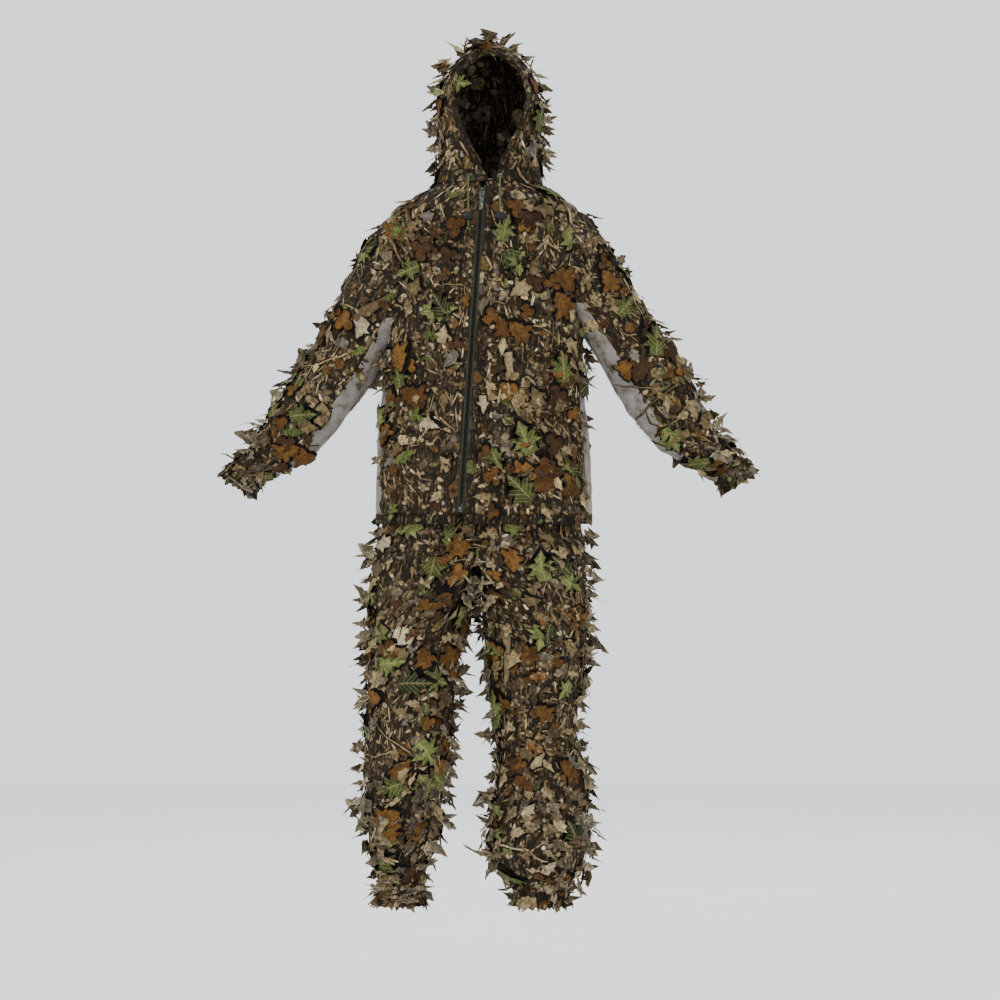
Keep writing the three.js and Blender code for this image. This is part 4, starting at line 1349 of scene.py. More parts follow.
def band(centre: Array, across: Array, along: Array, radius: float, height: float, frill: float,
         ripples: int) -> Patch:
    """Gathered band round a limb, with a frill past its end.

    Args:
        centre: Middle of its top ring.
        across, along: Directions across the limb and down it.
        radius: Of the band.
        height, frill: Lengths along the limb.
        ripples: Gathers round it.

    Returns:
        Rings whose radius has a cosine ripple that grows down the frill.
    """
    turn = np.linspace(0, TAU, 8 * ripples + 1)[None, :]
    t = np.concatenate([np.linspace(0, height, 8), height + frill * np.linspace(0.15, 1, 5)])[:, None]
    past = np.clip((t - height) / frill, 0, 1)
    bulge = 1.4 * MM * np.sin(math.pi * np.clip(t / height, 0, 1) * 3) ** 2
    wave = np.cos(ripples * turn) * (1.1 * MM + 3.2 * MM * past) + 2 * MM * past * np.cos(3 * turn + 1)
    r = radius + bulge + wave + 3 * MM * past
    points = (centre + r[..., None] * (np.cos(turn)[..., None] * across + np.sin(turn)[..., None] * [0, 1, 0])
              + t[..., None] * along)
    rows, columns = r.shape
    faces = grid_faces(rows, columns)
    if np.cross(across, [0, 1, 0]) @ along < 0:
        faces = faces[:, ::-1]
    run = np.broadcast_to(radius * turn, r.shape)
    cloth = np.stack([run, t + 0 * r], -1).reshape(-1, 2)
    return Patch(points.reshape(-1, 3), faces, cloth, bake=unit_square(rows, columns))


def trimmed(patch: Patch, outside: Mask) -> Patch:
    """Leaves out the faces none of whose corners is outside."""
    return Patch(patch.points, patch.faces[outside[patch.faces].any(1)], patch.cloth, patch.tint, patch.bake)


# ---- Leaves and litter -----------------------------------------------------------------------------


@dataclass
class Ground:
    """Part of a shell that bits are spread over, and how they ride.

    Attributes:
        allowed: Where bits may have their root.
        fits: Where every point of a bit must lie.
        fringe: Rows of flaps round an end: v, how many, and the part of the turn that they take.
        bare: Where flaps may have their root.
        down: Turn that points a bit down the garment.
        edge: How far flaps stand off where the cloth is seen edge on, 0 to 1.
        loose: How far they stand off everywhere, 0 to 1.
    """

    name: str
    shell: Shell
    allowed: Callable[[Array], Mask]
    bare: Callable[[Array], Mask]
    ride: Callable[[bpy.types.Object], None]
    down: float
    seed: int
    edge: Callable[[Array], Array] = field(default=lambda points: np.ones(len(points)))
    loose: Callable[[Array], Array] = field(default=lambda points: np.zeros(len(points)))
    fits: Callable[[Array], Mask] | None = None
    fringe: Sequence[tuple[float, int, float, float]] = ()

    def places(self, per_m2: float, salt: int, rule: Callable[[Array], Mask]) -> tuple[Array, Array, Array]:
        """Even places where a rule holds, with their points."""
        u, v = self.shell.scatter(per_m2, self.seed + salt)
        points, _ = self.shell.at(u, v)
        kept = rule(points)
        return u[kept], v[kept], points[kept]


def zone(points: Array, salt: float) -> Array:
    """Slow field from -1 to 1 that gathers one kind of print into patches of about 12 cm."""
    x, y, z = np.moveaxis(points, -1, 0)
    return (np.sin(26 * x + 9 * y + 1.9 * salt + 2 * np.sin(7 * z + salt))
            * np.cos(21 * z + 11 * y - 2.7 * salt + 1.5 * np.sin(9 * x)))


@dataclass(frozen=True)
class Kind:
    """One kind of printed bit, with how many to a square metre, its sizes and how it lies."""

    cut: Cut | Strip
    per_m2: float
    low: float
    high: float
    palette: Palette
    spin: float
    patchy: float = -2.0
    height: float = 1.0 * MM
    rim: float = 0.8
    outline: Cut | Strip | None = None


LITTER = (
    Kind(Cut(stone(7)), 5200, 0.006, 0.0125, PEBBLES, 3, patchy=0.05, height=0.9 * MM, rim=0.7),
    Kind(Cut(splinter(0.2)), 3400, 0.009, 0.021, CHIPS, 1.4, height=0.7 * MM, rim=0.8),
    Kind(Cut(splinter(0.34)), 1700, 0.008, 0.016, CHIPS, 2, height=1.1 * MM, rim=0.75),
    Kind(Cut(splinter(0.07)), 2600, 0.018, 0.036, TWIGS, 0.5, patchy=-0.1, height=1.2 * MM, rim=0.8))
MOTIFS = (
    Kind(Cut(slab(), (0.0, 0.5), ringed=True), 26, 0.045, 0.08, SLABS, 1.2, patchy=-0.3, height=1.5 * MM,
         outline=Cut(slab() * 1.14 - [0, 0.07], (0.0, 0.5), ringed=True)),
    Kind(Strip(0.036, 16, 0.03), 15, 0.18, 0.3, TRUNKS, 0.3, height=1.9 * MM, outline=Strip(0.05, 16, 0.03)),
    Kind(Strip(0.016, 14, 0.05, fork=0.3), 34, 0.09, 0.17, TWIGS, 1.0, height=2.4 * MM,
         outline=Strip(0.03, 14, 0.05, fork=0.3)),
    Kind(Strip(0.018, 10, 0.02), 40, 0.06, 0.13, TWIGS, 1.4, height=2.6 * MM, outline=Strip(0.034, 10, 0.02)))
LEAVES = (
    Kind(Cut(oak(4, 0.36, 12), ringed=True), 120, 0.044, 0.066, GREENS, 3, patchy=0.15),
    Kind(Cut(trefoil(), (0.0, 0.45), ringed=True), 190, 0.026, 0.046, OCHRES, 3, patchy=0.1),
    Kind(Cut(maple(), (0.0, 0.36), ringed=True), 70, 0.04, 0.056, OCHRES, 3, patchy=0.1),
    Kind(Cut(oak(3, 0.34, 9), ringed=True), 30, 0.03, 0.046, SLABS, 3))


@dataclass(frozen=True)
class Cover:
    """What lies on the cloth: printed bits, larger motifs, leaves in low relief, and cut flaps."""

    flap_m2: float = 2100

    def litter(self, ground: Ground) -> Patch:
        """Chips, stones, twigs, branches and plates of bark, flat in their own thickness."""
        rng = np.random.default_rng(ground.seed)
        batches = []
        for salt, kind in enumerate(LITTER + MOTIFS):
            u, v, points = ground.places(kind.per_m2, 17 * salt, ground.allowed)
            kept = zone(points, salt) > kind.patchy
            u, v = u[kept], v[kept]
            count = len(u)
            size = rng.uniform(kind.low, kind.high, count)
            turn = ground.down + rng.normal(0.3, kind.spin, count) + rng.choice([0, math.pi], count)
            shade = pick(kind.palette, count, rng, 0.3)
            height = kind.height + rng.uniform(-0.4, 0.4, count) * MM
            shared = dict(turn=turn, fits=ground.fits)
            if kind.outline:
                dark = np.broadcast_to(SOIL, (count, 3))
                batches.append(Batch(kind.outline, ground.shell, u, v, size, tint=dark, rim=1.0,
                                     height=height - 0.5 * MM, frayed=0.0, **shared))
            batches.append(Batch(kind.cut, ground.shell, u, v, size, tint=shade, height=height,
                                 rim=kind.rim, **shared))
        return stacked(batches)

    def leaves(self, ground: Ground) -> Patch:
        """Leaves in clusters, each over a larger dark copy of itself."""
        rng = np.random.default_rng(ground.seed + 1)
        batches = []
        for salt, kind in enumerate(LEAVES):
            u, v, points = ground.places(kind.per_m2 * 1.8, 5 + 29 * salt, ground.allowed)
            kept = zone(points, 3.3 + salt) > kind.patchy
            u, v = u[kept], v[kept]
            count = len(u)
            size = rng.uniform(kind.low, kind.high, count)
            shared = dict(turn=rng.uniform(0, TAU, count), lift=rng.uniform(0.0, 0.1, count),
                          bend=rng.normal(0, 0.12, count), fits=ground.fits)
            dark = np.broadcast_to(SOIL, (count, 3))
            span = ground.shell.span(u, v)
            shadow_u = u + 0.0022 / span[:, 0]
            shadow_v = v - 0.003 * math.cos(ground.down) / span[:, 1]
            batches.append(Batch(kind.cut, ground.shell, shadow_u, shadow_v, size * 1.14, tint=dark,
                                 height=2.6 * MM, rim=1.0, frayed=0.0, **shared))
            batches.append(Batch(kind.cut, ground.shell, u, v, size,
                                 tint=pick(kind.palette, count, rng, 0.16), height=3.4 * MM,
                                 curl=rng.uniform(0, 0.08, count), fold=0.08, rim=0.9, **shared))
        return stacked(batches)

    def flaps(self, ground: Ground) -> Patch:
        """Leaf-shaped flaps that the cloth is cut into.

        Each hangs from its root. It lies close where the cloth faces front or back, and stands off
        where the cloth turns away or hangs loose. There it is painted paler, with a stronger pale rim:
        partly its pale cut edge and reverse, partly painted backlight through the thin cloth.
        """
        rng = np.random.default_rng(ground.seed + 2)
        cuts = (Cut(serrated(4, 0.3), ringed=True), Cut(oak(3, 0.34, 7), ringed=True), Cut(serrated(3, 0.24)))
        batches = []
        for salt, cut in enumerate(cuts):
            u, v, points = ground.places(self.flap_m2 / len(cuts), 3 + 41 * salt, ground.bare)
            normal = ground.shell.at(u, v)[1]
            turned = smooth(np.sqrt(1 - normal[:, 1] ** 2), 0.72, 0.97) * ground.edge(points)
            stand = np.maximum(turned, ground.loose(points))
            kept = rng.uniform(0, 1, len(u)) < 0.32 + 0.68 * stand
            u, v, stand = u[kept], v[kept], stand[kept]
            count = len(u)
            tint = pick(FLAPS, count, rng, 0.25)
            # Flaps that stand off, mostly at the silhouette, get a paler colour and a stronger pale rim:
            # partly their pale reverse and cut edge, partly painted backlight through the thin cloth
            tint += (DYE * np.array(PALE) - tint) * 0.26 * stand[:, None]
            batches.append(Batch(
                cut, ground.shell, u, v, rng.uniform(0.022, 0.04, count),
                ground.down + rng.normal(0, 1.1, count), tint,
                lift=rng.uniform(0.04, 0.3, count) + stand * rng.uniform(0.2, 0.95, count),
                height=2.0 * MM, curl=rng.normal(0.03, 0.15, count), fold=-0.14,
                bend=rng.normal(0, 0.2, count), rim=1.1, frayed=0.15 + 0.85 * stand, fits=ground.fits,
                overhang=30 * MM))
        # Fringe rows round the cuffs, with half the pale rim, which is partly painted backlight
        for row, (place, count, first, last) in enumerate(ground.fringe):
            u = np.linspace(first, last, count, endpoint=False) + rng.normal(0, 0.006, count)
            batches.append(Batch(
                cuts[row % 2], ground.shell, u, place + rng.normal(0, 0.003, count),
                rng.uniform(0.02, 0.032, count), ground.down + rng.normal(0, 0.35, count),
                pick(FLAPS, count, rng, 0.3), lift=rng.uniform(0.1, 0.5, count), height=5 * MM,
                fold=-0.14, rim=1.1, frayed=0.5, overhang=30 * MM))
        return stacked(batches)

    def lay(self, ground: Ground, finishes: Finishes) -> list[bpy.types.Object]:
        """Builds the three layers over a ground."""
        made = []
        for word, patch, finish in (("litter", self.litter(ground), finishes.litter),
                                    ("leaves", self.leaves(ground), finishes.leaf),
                                    ("flaps", self.flaps(ground), finishes.flap)):
            piece = build(f"{word}_{ground.name}", patch, finish, soft=word != "litter")
            ground.ride(piece)
            made.append(piece)
        return made


# ---- Garments --------------------------------------------------------------------------------------


def rides(body: str) -> Callable[[bpy.types.Object], None]:
    """Gives a call that makes a piece ride on a body."""
    return lambda piece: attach(piece, body)


def turns(piece: bpy.types.Object) -> None:
    """Bakes the world transform into a piece of the hood, between the jacket's collar and the head."""
    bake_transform(piece)


@dataclass
class Cloth:
    """One cut of cloth with what it stands for."""

    name: str
    patch: Patch
    finish: bpy.types.Material
    ride: Callable[[bpy.types.Object], None]
    nodes: tuple[str, ...]
    slot: str = "leafy_cloth"
    held: str = "hung"

    def make(self, with_pieces: Sequence[bpy.types.Object] = ()) -> bpy.types.Object:
        piece = build(self.name, self.patch, self.finish)
        thicken(piece, CLOTH_WALL)
        self.ride(piece)
        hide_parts(*self.nodes)
        area = area_of(self.patch)
        used = self.patch.cloth[np.unique(self.patch.faces)]
        width, length = np.ptp(used, axis=0)
        length = max(length, area / width)
        log.info("%s: flat %.3f x %.3f m, area %.3f m2", self.name, width, length, area)
        return piece


@dataclass
class Jacket:
    """Fronts, back, sides, collar, hem, sleeves and hood."""

    finishes: Finishes
    cover: Cover
    under_arm: float = 34 * MM
    side_half: float = 52 * MM
    side_top: float = -0.392
    collar: tuple[float, float] = (0.002, 0.025)
    foot: float = -0.632

    def __post_init__(self) -> None:
        """Works out the surfaces."""
        self.torso = Torso()
        ends = lambda u, v: 0.35 + 0.5 * smooth(v, 0.55, 0.85) + 0.2 * smooth(v, 0.3, 0.1)
        self.sleeves = {side: Limb(side, SLEEVE_ROWS[side], 34, 0.92, [
            (Folds(21 + side.value, (1, 4), (5, 12), 8 * MM), ends),
            (Folds(31 + side.value, (3, 8), (1, 3), 4 * MM), lambda u, v: 1 + 0 * v)]) for side in Side}
        outline = spline([(x * MM, z * MM) for x, z in FACE_OUTLINE], 400)
        self.face = [outline[:np.argmax(outline[:, 1]) + 1], outline[np.argmax(outline[:, 1]):][::-1]]
        self.outline = outline

    def face_x(self, side: Side, z: Array) -> Array:
        """X of the face opening's edge at a height, or the middle above and below it."""
        line = self.face[0 if side is Side.RIGHT else 1]
        x = np.interp(z, line[:, 1], line[:, 0])
        return np.where(z > self.outline[:, 1].max() - 0.5 * MM, NECK_X, x)

    def clear_of_sleeves(self, points: Array, margin: float) -> Mask:
        """Whether points lie outside both sleeves."""
        rows = [SLEEVE_ROWS[side][1:] for side in Side]
        return (outside_tube(points, rows[0], 0.92, margin) & outside_tube(points, rows[1], 0.92, margin))

    def bodice(self) -> None:
        """Fronts, back and see-through sides."""
        torso = self.torso
        side_v = torso.v(self.side_top)

        def outer(y: float) -> Callable[[Array], Array]:
            """Distance from the side line to the seam, wider below the top of the side panels."""
            return lambda v: np.where(v < side_v, torso.seam(SIDE_Y + y * self.side_half, v),
                                      torso.seam(SIDE_Y, v))

        zipped = lambda sign: (lambda v, z: torso.edge(zip_x(z) + sign * ZIP_EDGE, v))
        grounds = {}
        clear_zip = lambda points: (zip_away(points) > 8 * MM) | (points[..., 1] > 0)
        front_bare = lambda points: ((zip_away(points) > 0.03)
                                     & ~((np.abs(points[:, 0]) < 0.062) & (points[:, 2] > -0.125)))
        low_edge = lambda points: smooth(points[:, 2], -0.12, -0.26)
        inside = lambda points: ((points[:, 2] < 0.0) & (points[:, 2] > self.foot + 0.004)
                                 & self.clear_of_sleeves(points, 0)
                                 & ~((np.abs(points[:, 1] - SIDE_Y) < self.side_half - 0.004)
                                     & (points[:, 2] < self.side_top) & (np.abs(points[:, 0]) > 0.12)))
        grounds["front"] = Ground(
            "front", torso.shell, lambda p: inside(p) & (p[:, 1] < SIDE_Y),
            lambda p: inside(p) & (p[:, 1] < SIDE_Y) & front_bare(p), rides("jacket"), math.pi, 101,
            edge=low_edge, fits=clear_zip)
        grounds["back"] = Ground(
            "back", torso.shell, lambda p: inside(p) & (p[:, 1] > SIDE_Y),
            lambda p: inside(p) & (p[:, 1] > SIDE_Y), rides("jacket"), math.pi, 202, edge=low_edge)
        cover = {name: self.cover.lay(ground, self.finishes) for name, ground in grounds.items()}
        cuts = {
            "front_right": (lambda v, z: 0.5 - outer(-1)(v), zipped(-1), cover["front"], 0.0),
            "front_left": (zipped(1), lambda v, z: 1 + outer(-1)(v), [], 0.61),
            "back_panel": (lambda v, z: outer(1)(v), lambda v, z: 0.5 - outer(1)(v), cover["back"], 1.3),
        }
        for name, (start, end, extra, shift) in cuts.items():
            patch = torso.patch(self.foot, self.collar[0], start, end, shift=shift)
            patch = trimmed(patch, self.clear_of_sleeves(patch.points, -0.012))
            Cloth(f"cloth_{name}", patch, self.finishes.cloth, rides("jacket"), (name,)).make(extra)
        for side in Side:
            middle = 0.0 if side is Side.LEFT else 0.5
            reach = [lambda v, y=y: torso.seam(SIDE_Y + y * self.side_half, v) for y in (-1, 1)]
            sign = side.value
            patch = torso.patch(self.foot, self.side_top, lambda v, z: middle + sign * reach[0](v),
                                lambda v, z: middle + sign * reach[1](v))
            Cloth(f"cloth_side_{side.word}", patch, self.finishes.sheer, rides("jacket"),
                  (f"side_panel_{side.word}",), "sheer_mesh").make()

    def edges(self) -> None:
        """Collar and hem."""
        torso = self.torso
        slit = lambda side: (lambda v, z: torso.edge(np.where(
            z > 0.009, self.face_x(side, z), NECK_X + side.value * 0.001), v))
        patch = torso.patch(*self.collar, lambda v, z: slit(Side.LEFT)(v, z) - 1,
                            lambda v, z: slit(Side.RIGHT)(v, z), rise=1.6 * MM, shift=2.2)
        Cloth("cloth_collar", patch, self.finishes.trim, rides("jacket"), ("collar",)).make()
        # The hem is cut in the darker trim cloth and kept bare of litter, so that it shows as a dark band:
        # painted shade of its gather
        low = -0.650
        zipped = lambda sign: (lambda v, z: torso.edge(zip_x(z) + sign * HEM_GAP, v))
        patch = torso.patch(low, self.foot, lambda v, z: zipped(1)(v, z) - 1, zipped(-1), rise=1.2 * MM,
                            shift=2.9)
        Cloth("cloth_hem", patch, self.finishes.trim, rides("jacket"), ("jacket_hem",)).make()

    def arms(self) -> None:
        """Sleeves, their see-through under panels and their gathered ends."""
        for side in Side:
            limb = self.sleeves[side]
            start_v = limb.run.find(1, SLEEVE_ROWS[side][2][1] * MM)

            def half(v: Array, limb: Limb = limb, start_v: float = start_v) -> Array:
                """Half width in u of the see-through panel: the turn whose cosine is offset over radius."""
                radius = limb.run(v)[..., 2]
                turn = np.arccos(np.clip(self.under_arm / radius, -1, 1)) / TAU
                return turn * smooth(v, start_v - 0.03, start_v + 0.05)

            body_side = lambda p: self.torso.outside(p, -0.006)

            def top(points: Array, limb: Limb = limb, side: Side = side) -> Mask:
                """Whether points belong to the leafy upper part."""
                x, z, _ = limb.run(np.linspace(0, 1, 200)).T
                near = np.argmin((points[:, 0, None] - x) ** 2 + (points[:, 2, None] - z) ** 2, 1)
                tilt = math.radians(34) * side.value
                across = (points[:, 0] - x[near]) * math.cos(tilt) + (points[:, 2] - z[near]) * math.sin(tilt)
                below = -side.value * across
                return (below < self.under_arm - 0.004) | (near / 200 < start_v - 0.02)

            leafy = lambda p: body_side(p) & top(p)
            ground = Ground(f"sleeve_{side.word}", limb.shell, leafy, leafy, rides("jacket"), 0.0,
                            303 + side.value,
                            edge=lambda p: 0.3 + 0.7 * smooth(np.abs(p[:, 0]), 0.2, 0.34),
                            loose=lambda p: 0.9 * smooth(np.abs(p[:, 0]), 0.38, 0.47),
                            fringe=((limb.end - 0.01, 22, 0.0, 1.0), (limb.end + 0.012, 22, 0.02, 1.02)))
            cover = self.cover.lay(ground, self.finishes)
            patch = limb.patch(half, lambda v: 1 - half(v), shift=3.4 + side.value)
            patch = trimmed(patch, self.torso.outside(patch.points, -0.016))
            Cloth(f"cloth_sleeve_{side.word}", patch, self.finishes.cloth, rides("jacket"),
                  (f"sleeve_{side.word}",)).make(cover)
            patch = limb.patch(lambda v: -half(v), half, low=start_v - 0.02)
            Cloth(f"cloth_sleeve_under_{side.word}", patch, self.finishes.sheer, rides("jacket"),
                  (f"sleeve_under_{side.word}",), "sheer_mesh").make()
            tilt = math.radians(34) * side.value
            across = np.array([math.cos(tilt), 0, math.sin(tilt)])
            along = np.array([math.sin(tilt), 0, -math.cos(tilt)])
            x, z, radius = np.array(SLEEVE_ROWS[side][-2]) * MM
            patch = band(np.array([x, 0, z]) + along * 0.4 * MM, across, along, radius, 20 * MM, 12 * MM, 22)
            Cloth(f"cloth_cuff_{side.word}", patch, self.finishes.trim, rides("jacket"),
                  (f"wrist_{side.word}_cuff",), held="gathered").make()

    def hood(self) -> None:
        """Both halves of the hood, the casing round the face and the cord in it."""
        torso = self.torso

        def open_face(points: Array) -> Mask:
            """Whether points lie outside the face opening and its casing."""
            z = points[:, 2]
            right, left = (self.face_x(side, z) for side in Side)
            hole = ((points[:, 1] < 0) & (z < 0.252)
                    & (points[:, 0] > right - 0.005) & (points[:, 0] < left + 0.005))
            return ~hole & (z > self.collar[1]) & (z < 0.28)

        tips = lambda p: open_face(p) & ((p[:, 2] > 0.05) | (p[:, 1] > 0.0))
        ground = Ground("hood", torso.shell, open_face, tips, turns, math.pi, 404)
        cover = self.cover.lay(ground, self.finishes)
        back = 0.25
        for side in Side:
            edge = lambda v, z, side=side: torso.edge(self.face_x(side, z), v)
            start, end = ((lambda v, z: back + 0 * v, edge) if side is Side.RIGHT
                          else (lambda v, z: edge(v, z) - 1, lambda v, z: back + 0 * v))
            patch = torso.patch(self.collar[1], 0.284, start, end, shift=4.5 + side.value)
            Cloth(f"cloth_hood_{side.word}", patch, self.finishes.cloth, turns,
                  (f"hood_{side.word}",)).make(cover if side is Side.RIGHT else ())
        line = self.outline[self.outline[:, 1] > 0.034]
        row = np.stack([np.interp(line[:, 1], torso.run.table[:, 0], c) for c in torso.run.table.T], -1)
        across = np.abs((line[:, 0] - row[:, 4]) / row[:, 1])
        depth = -row[:, 2] * (1 - across ** SQUARENESS) ** (1 / SQUARENESS)
        path = np.stack([line[:, 0], depth, line[:, 1]], -1)
        gather = 1 + 0.1 * np.cos(TAU * np.arange(len(path)) / 5)[:, None, None]
        casing = build("hood_casing_cloth", sweep(path, circle(5.4 * MM, 12) * gather, np.array([0, 1, 0])),
                       self.finishes.trim)
        inner = build("hood_cord", sweep(path, circle(1.5 * MM, 8), np.array([0, 1, 0])), self.finishes.cord)
        for piece, node, word in ((casing, "hood_casing", "leafy_cloth"), (inner, "hood_drawcord", "cord")):
            turns(piece)
            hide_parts(node)


@dataclass
class Trousers:
    """Legs, waistband and gathered ankles."""

    finishes: Finishes
    cover: Cover
    ankle_height: float = 20 * MM

    def build(self) -> None:
        """Makes both legs and the waist."""
        for side in Side:
            rows = LEG_ROWS[side]
            bunch = lambda u, v: 0.3 + 0.7 * smooth(v, 0.6, 0.85)
            leg = Leg(side, rows, 0, 1.04, [
                (Folds(41 + side.value, (0, 3), (6, 14), 10 * MM), bunch),
                (Folds(51 + side.value, (3, 8), (1, 3), 8 * MM), lambda u, v: 1 - 0.5 * smooth(v, 0.7, 1))])
            clear = lambda p: ((p[:, 2] < -0.642) & ~((np.abs(p[:, 0] - Leg.CROTCH_X) < 0.002)
                                                     & (p[:, 2] > -0.77)))
            ground = Ground(f"leg_{side.word}", leg.shell, clear, clear, rides("trousers"), 0.0,
                            505 + side.value,
                            loose=lambda p: (0.12 + 0.38 * smooth(p[:, 2], -1.05, -1.22)
                                             + 0.5 * smooth(p[:, 2], -1.3, -1.36)),
                            fringe=((leg.end - 0.012, 26, 0.0, 1.0), (leg.end + 0.006, 26, 0.02, 1.02),
                                    (leg.end + 0.018, 26, 0.0, 1.0)))
            cover = self.cover.lay(ground, self.finishes)
            for word, start, end in (("front", 0.5, 1.0), ("back", 0.0, 0.5)):
                patch = leg.patch(lambda v: start + 0 * v, lambda v: end + 0 * v,
                                  shift=6 + start + side.value)
                wall = ((np.abs(patch.points[:, 0] - Leg.CROTCH_X) < 0.006) & (patch.points[:, 2] > -0.78)
                        & (np.abs(patch.points[:, 1]) < 0.07))
                patch = trimmed(patch, ~wall)
                Cloth(f"cloth_leg_{word}_{side.word}", patch, self.finishes.cloth, rides("trousers"),
                      (f"leg_{word}_{side.word}",)).make(cover if word == "front" else ())
            x, z, radius = np.array(rows[-2]) * MM
            patch = band(np.array([x, 0, z - 0.4 * MM]), np.array([1.0, 0, 0]), np.array([0, 0, -1.0]),
                         radius, self.ankle_height, 12 * MM, 26)
            Cloth(f"cloth_ankle_{side.word}", patch, self.finishes.trim, rides("trousers"),
                  (f"ankle_{side.word}_cuff",), held="gathered").make()
        self.waist()

    def waist(self) -> None:
        """Gathered band round the waist elastic."""
        rows, columns, gathers = 9, 481, 60
        turn = np.linspace(0, TAU, columns)[None, :]
        z = np.linspace(-0.5355, -0.5016, rows)[:, None]
        _, half, front, back, shift = np.array(SEAT_ROWS[0]) * MM
        ripple = 1.3 * MM * np.cos(gathers * turn) * np.sin(math.pi * np.linspace(0, 1, rows))[:, None]
        x, y = superellipse(turn, half + ripple, front + ripple, back + ripple)
        points = np.stack([x + shift, y, z + 0 * x], -1)
        cloth = np.stack([0.14 * turn + 0 * z, z + 0 * turn], -1)
        patch = Patch(points.reshape(-1, 3), grid_faces(rows, columns), cloth.reshape(-1, 2),
                      bake=unit_square(rows, columns))
        Cloth("cloth_waist", patch, self.finishes.trim, rides("trousers"), ("waistband",),
              held="gathered").make()


# ---- Zip and cords ---------------------------------------------------------------------------------

CORD_ROUTES = {
    Side.RIGHT: [(-31, -92.75, 12), (-31, -98.35, 11.5), (-31, -105.35, 7), (-31, -115.04, -4),
                 (-31, -115.04, -20), (-31, -115.04, -52), (-31, -115.04, -85)],
    Side.LEFT: [(29, -95.37, 12), (29, -100.97, 11.5), (29, -107.97, 7), (29, -115.4, -4), (29, -115.4, -20),
                (29, -115.4, -52), (29, -115.4, -85)],
}


@dataclass
class Drawcord:
    """The two hanging ends of the hood's cord, with their knots."""

    finishes: Finishes
    radius: float = 1.5 * MM
    knot: float = 1.15 * MM

    def build(self, side: Side) -> None:
        """Makes one end."""
        route = spline([tuple(x * MM for x in point) for point in CORD_ROUTES[side]], 60)
        piece = build(f"cord_{side.word}", sweep(route, circle(self.radius, 12), np.array([1.0, 0, 0])),
                      self.finishes.cord)
        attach(piece, "jacket")
        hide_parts(f"drawcord_end_{side.word}")
        t = np.linspace(0, TAU, 90, endpoint=False)
        low, high = (np.array(corner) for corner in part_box(f"cord_knot_{side.word}"))
        loop = np.stack([(2 + np.cos(3 * t)) * np.cos(2 * t), (2 + np.cos(3 * t)) * np.sin(2 * t),
                         1.5 * np.sin(3 * t)], -1)
        tube = sweep((low + high) / 2 + loop * self.knot, circle(self.radius * 0.8, 8),
                     np.array([0.3, 0.2, 1.0]), closed=True)
        knot = build(f"knot_{side.word}", tube, self.finishes.cord)
        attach(knot, "jacket")
        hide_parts(f"cord_knot_{side.word}")


@dataclass
class Zip:
    """Nylon coils and the stitching beside the tapes."""

    finishes: Finishes
    torso: Torso
    pitch: float = 1.7 * MM
    wire: float = 0.34 * MM

    def build(self) -> None:
        """Makes a coil and a row of stitches on each side."""
        for side in Side:
            low, high = (np.array(corner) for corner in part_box(f"zip_teeth_{side.word}"))
            foot = np.array([zip_x(low[2]), low[1], low[2]])
            head = np.array([zip_x(high[2]), high[1], high[2]])
            foot[1], head[1] = self.face(low[2]), self.face(high[2])
            along = (head - foot) / np.linalg.norm(head - foot)
            across = np.cross(along, [0, -1, 0])
            across /= np.linalg.norm(across)
            across *= np.sign(across[0]) * side.value
            length = float(np.linalg.norm(head - foot))
            loops = length / self.pitch
            t = np.linspace(0, loops, int(loops * 8))
            swing = 1.5 * MM - 1.25 * MM * np.cos(TAU * t)
            path = (foot + along * (t * self.pitch)[:, None] + across * swing[:, None]
                    + np.array([0, 1, 0]) * (0.75 * MM * np.sin(TAU * t))[:, None])
            coil = build(f"zip_coil_{side.word}", sweep(path, circle(self.wire, 5), along),
                         self.finishes.coil)
            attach(coil, "jacket")
            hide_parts(f"zip_teeth_{side.word}")
            self.stitch(side)

    def stitch(self, side: Side) -> None:
        """Row of stitches through the cloth beside the tape, each 3.2 mm long."""
        torso = self.torso
        v = np.linspace(torso.v(-0.630), torso.v(-0.006), 1040)
        z = torso.run(v)[:, 0]
        points, normals = torso.shell.at(torso.edge(zip_x(z) + side.value * 9.5 * MM, v), v)
        run = np.concatenate([[0], np.cumsum(np.linalg.norm(np.diff(points, axis=0), axis=1))])
        stand = 0.35 * MM - 0.55 * MM * (1 - np.abs(np.sin(math.pi * run / 3.2e-3)))
        path = points + normals * stand[:, None]
        thread = build(f"stitch_{side.word}", sweep(path, circle(0.3 * MM, 5), np.array([1.0, 0, 0])),
                       self.finishes.tape)
        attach(thread, "jacket")

    def face(self, z: float) -> float:
        """Y of the zip's middle plane at a height, along the tape's slope."""
        low, high = (np.array(corner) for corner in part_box("zip_tape_left"))
        share = (z - low[2]) / (high[2] - low[2])
        half = 0.7 * MM
        return float(low[1] + half + (high[1] - low[1] - 2 * half) * share)


# ---- Stage -----------------------------------------------------------------------------------------


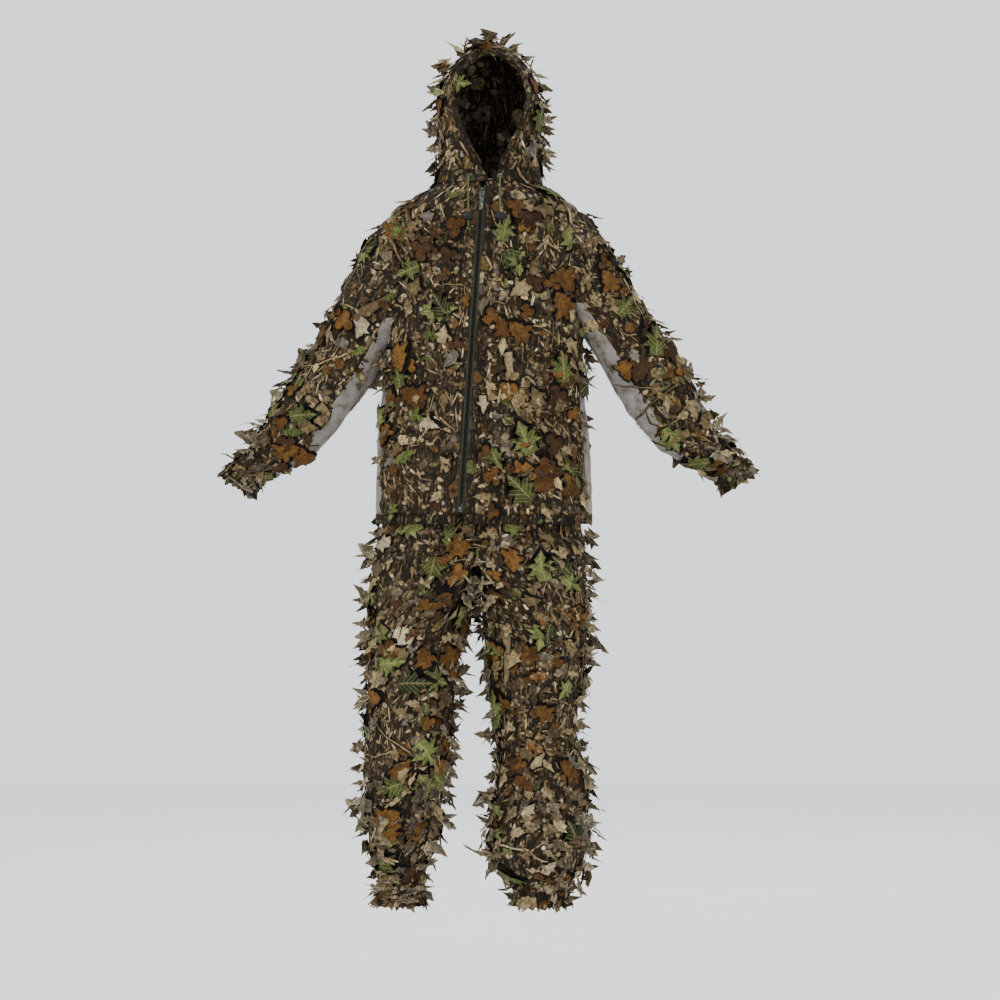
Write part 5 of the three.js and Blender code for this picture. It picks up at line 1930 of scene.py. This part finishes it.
@dataclass(frozen=True)
class Studio:
    """Camera level with the knees of the jacket, soft lights and a pale floor."""

    middle: tuple[float, float, float] = (0.029, 0.0, -0.604)
    distance: float = 6.0
    width: float = 1.93
    sensor: float = 36.0
    floor: float = -1.70

    def camera(self) -> None:
        """Looks along +Y at the middle, so that the width fills the frame."""
        data = bpy.data.cameras.new("camera")
        data.sensor_width = self.sensor
        data.lens = self.sensor * self.distance / self.width
        camera = bpy.data.objects.new("camera", data)
        camera.location = (self.middle[0], -self.distance, self.middle[2])
        camera.rotation_euler = (math.pi / 2, 0, 0)
        bpy.context.collection.objects.link(camera)
        bpy.context.scene.camera = camera

    def lamp(self, name: str, place: Sequence[float], size: float, power: float) -> None:
        """Square area light aimed at the middle."""
        data = bpy.data.lights.new(name, "AREA")
        data.size = size
        data.energy = power
        lamp = bpy.data.objects.new(name, data)
        lamp.location = place
        aim = Vector(self.middle) - Vector(place)
        lamp.rotation_euler = aim.to_track_quat("-Z", "Y").to_euler()
        bpy.context.collection.objects.link(lamp)

    def build(self) -> None:
        """Lights, world and floor."""
        self.lamp("key", (-2.4, -3.6, 2.2), 2.0, 120)
        self.lamp("fill", (2.8, -3.4, 0.4), 3.0, 30)
        self.lamp("top", (0.0, 0.4, 2.8), 2.5, 40)
        self.lamp("behind", (1.2, 3.6, 1.4), 3.0, 45)
        world = bpy.data.worlds.new("studio")
        world.use_nodes = True
        world.node_tree.nodes["Background"].inputs[0].default_value = (0.9, 0.92, 0.95, 1)
        world.node_tree.nodes["Background"].inputs[1].default_value = 1.6
        bpy.context.scene.world = world
        half = 6.0
        corners = np.array([(-half, -half, self.floor), (half, -half, self.floor), (half, half, self.floor),
                            (-half, half, self.floor)])
        floor = build("floor", Patch(corners, np.array([[0, 1, 2, 3]]), corners[:, :2]), StudioFloor().make())


def main() -> None:
    """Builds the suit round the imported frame."""
    studio = Studio()
    studio.camera()
    finishes = Finishes()
    drawcord = Drawcord(finishes)
    for side in Side:
        drawcord.build(side)
    finishes.dress_nodes()
    cover = Cover()
    jacket = Jacket(finishes, cover)
    jacket.bodice()
    jacket.edges()
    jacket.arms()
    jacket.hood()
    Trousers(finishes, cover).build()
    Zip(finishes, jacket.torso).build()
    studio.build()


if __name__ == "__main__":
    logging.basicConfig(level=logging.INFO, format="%(name)s: %(message)s")
    main()
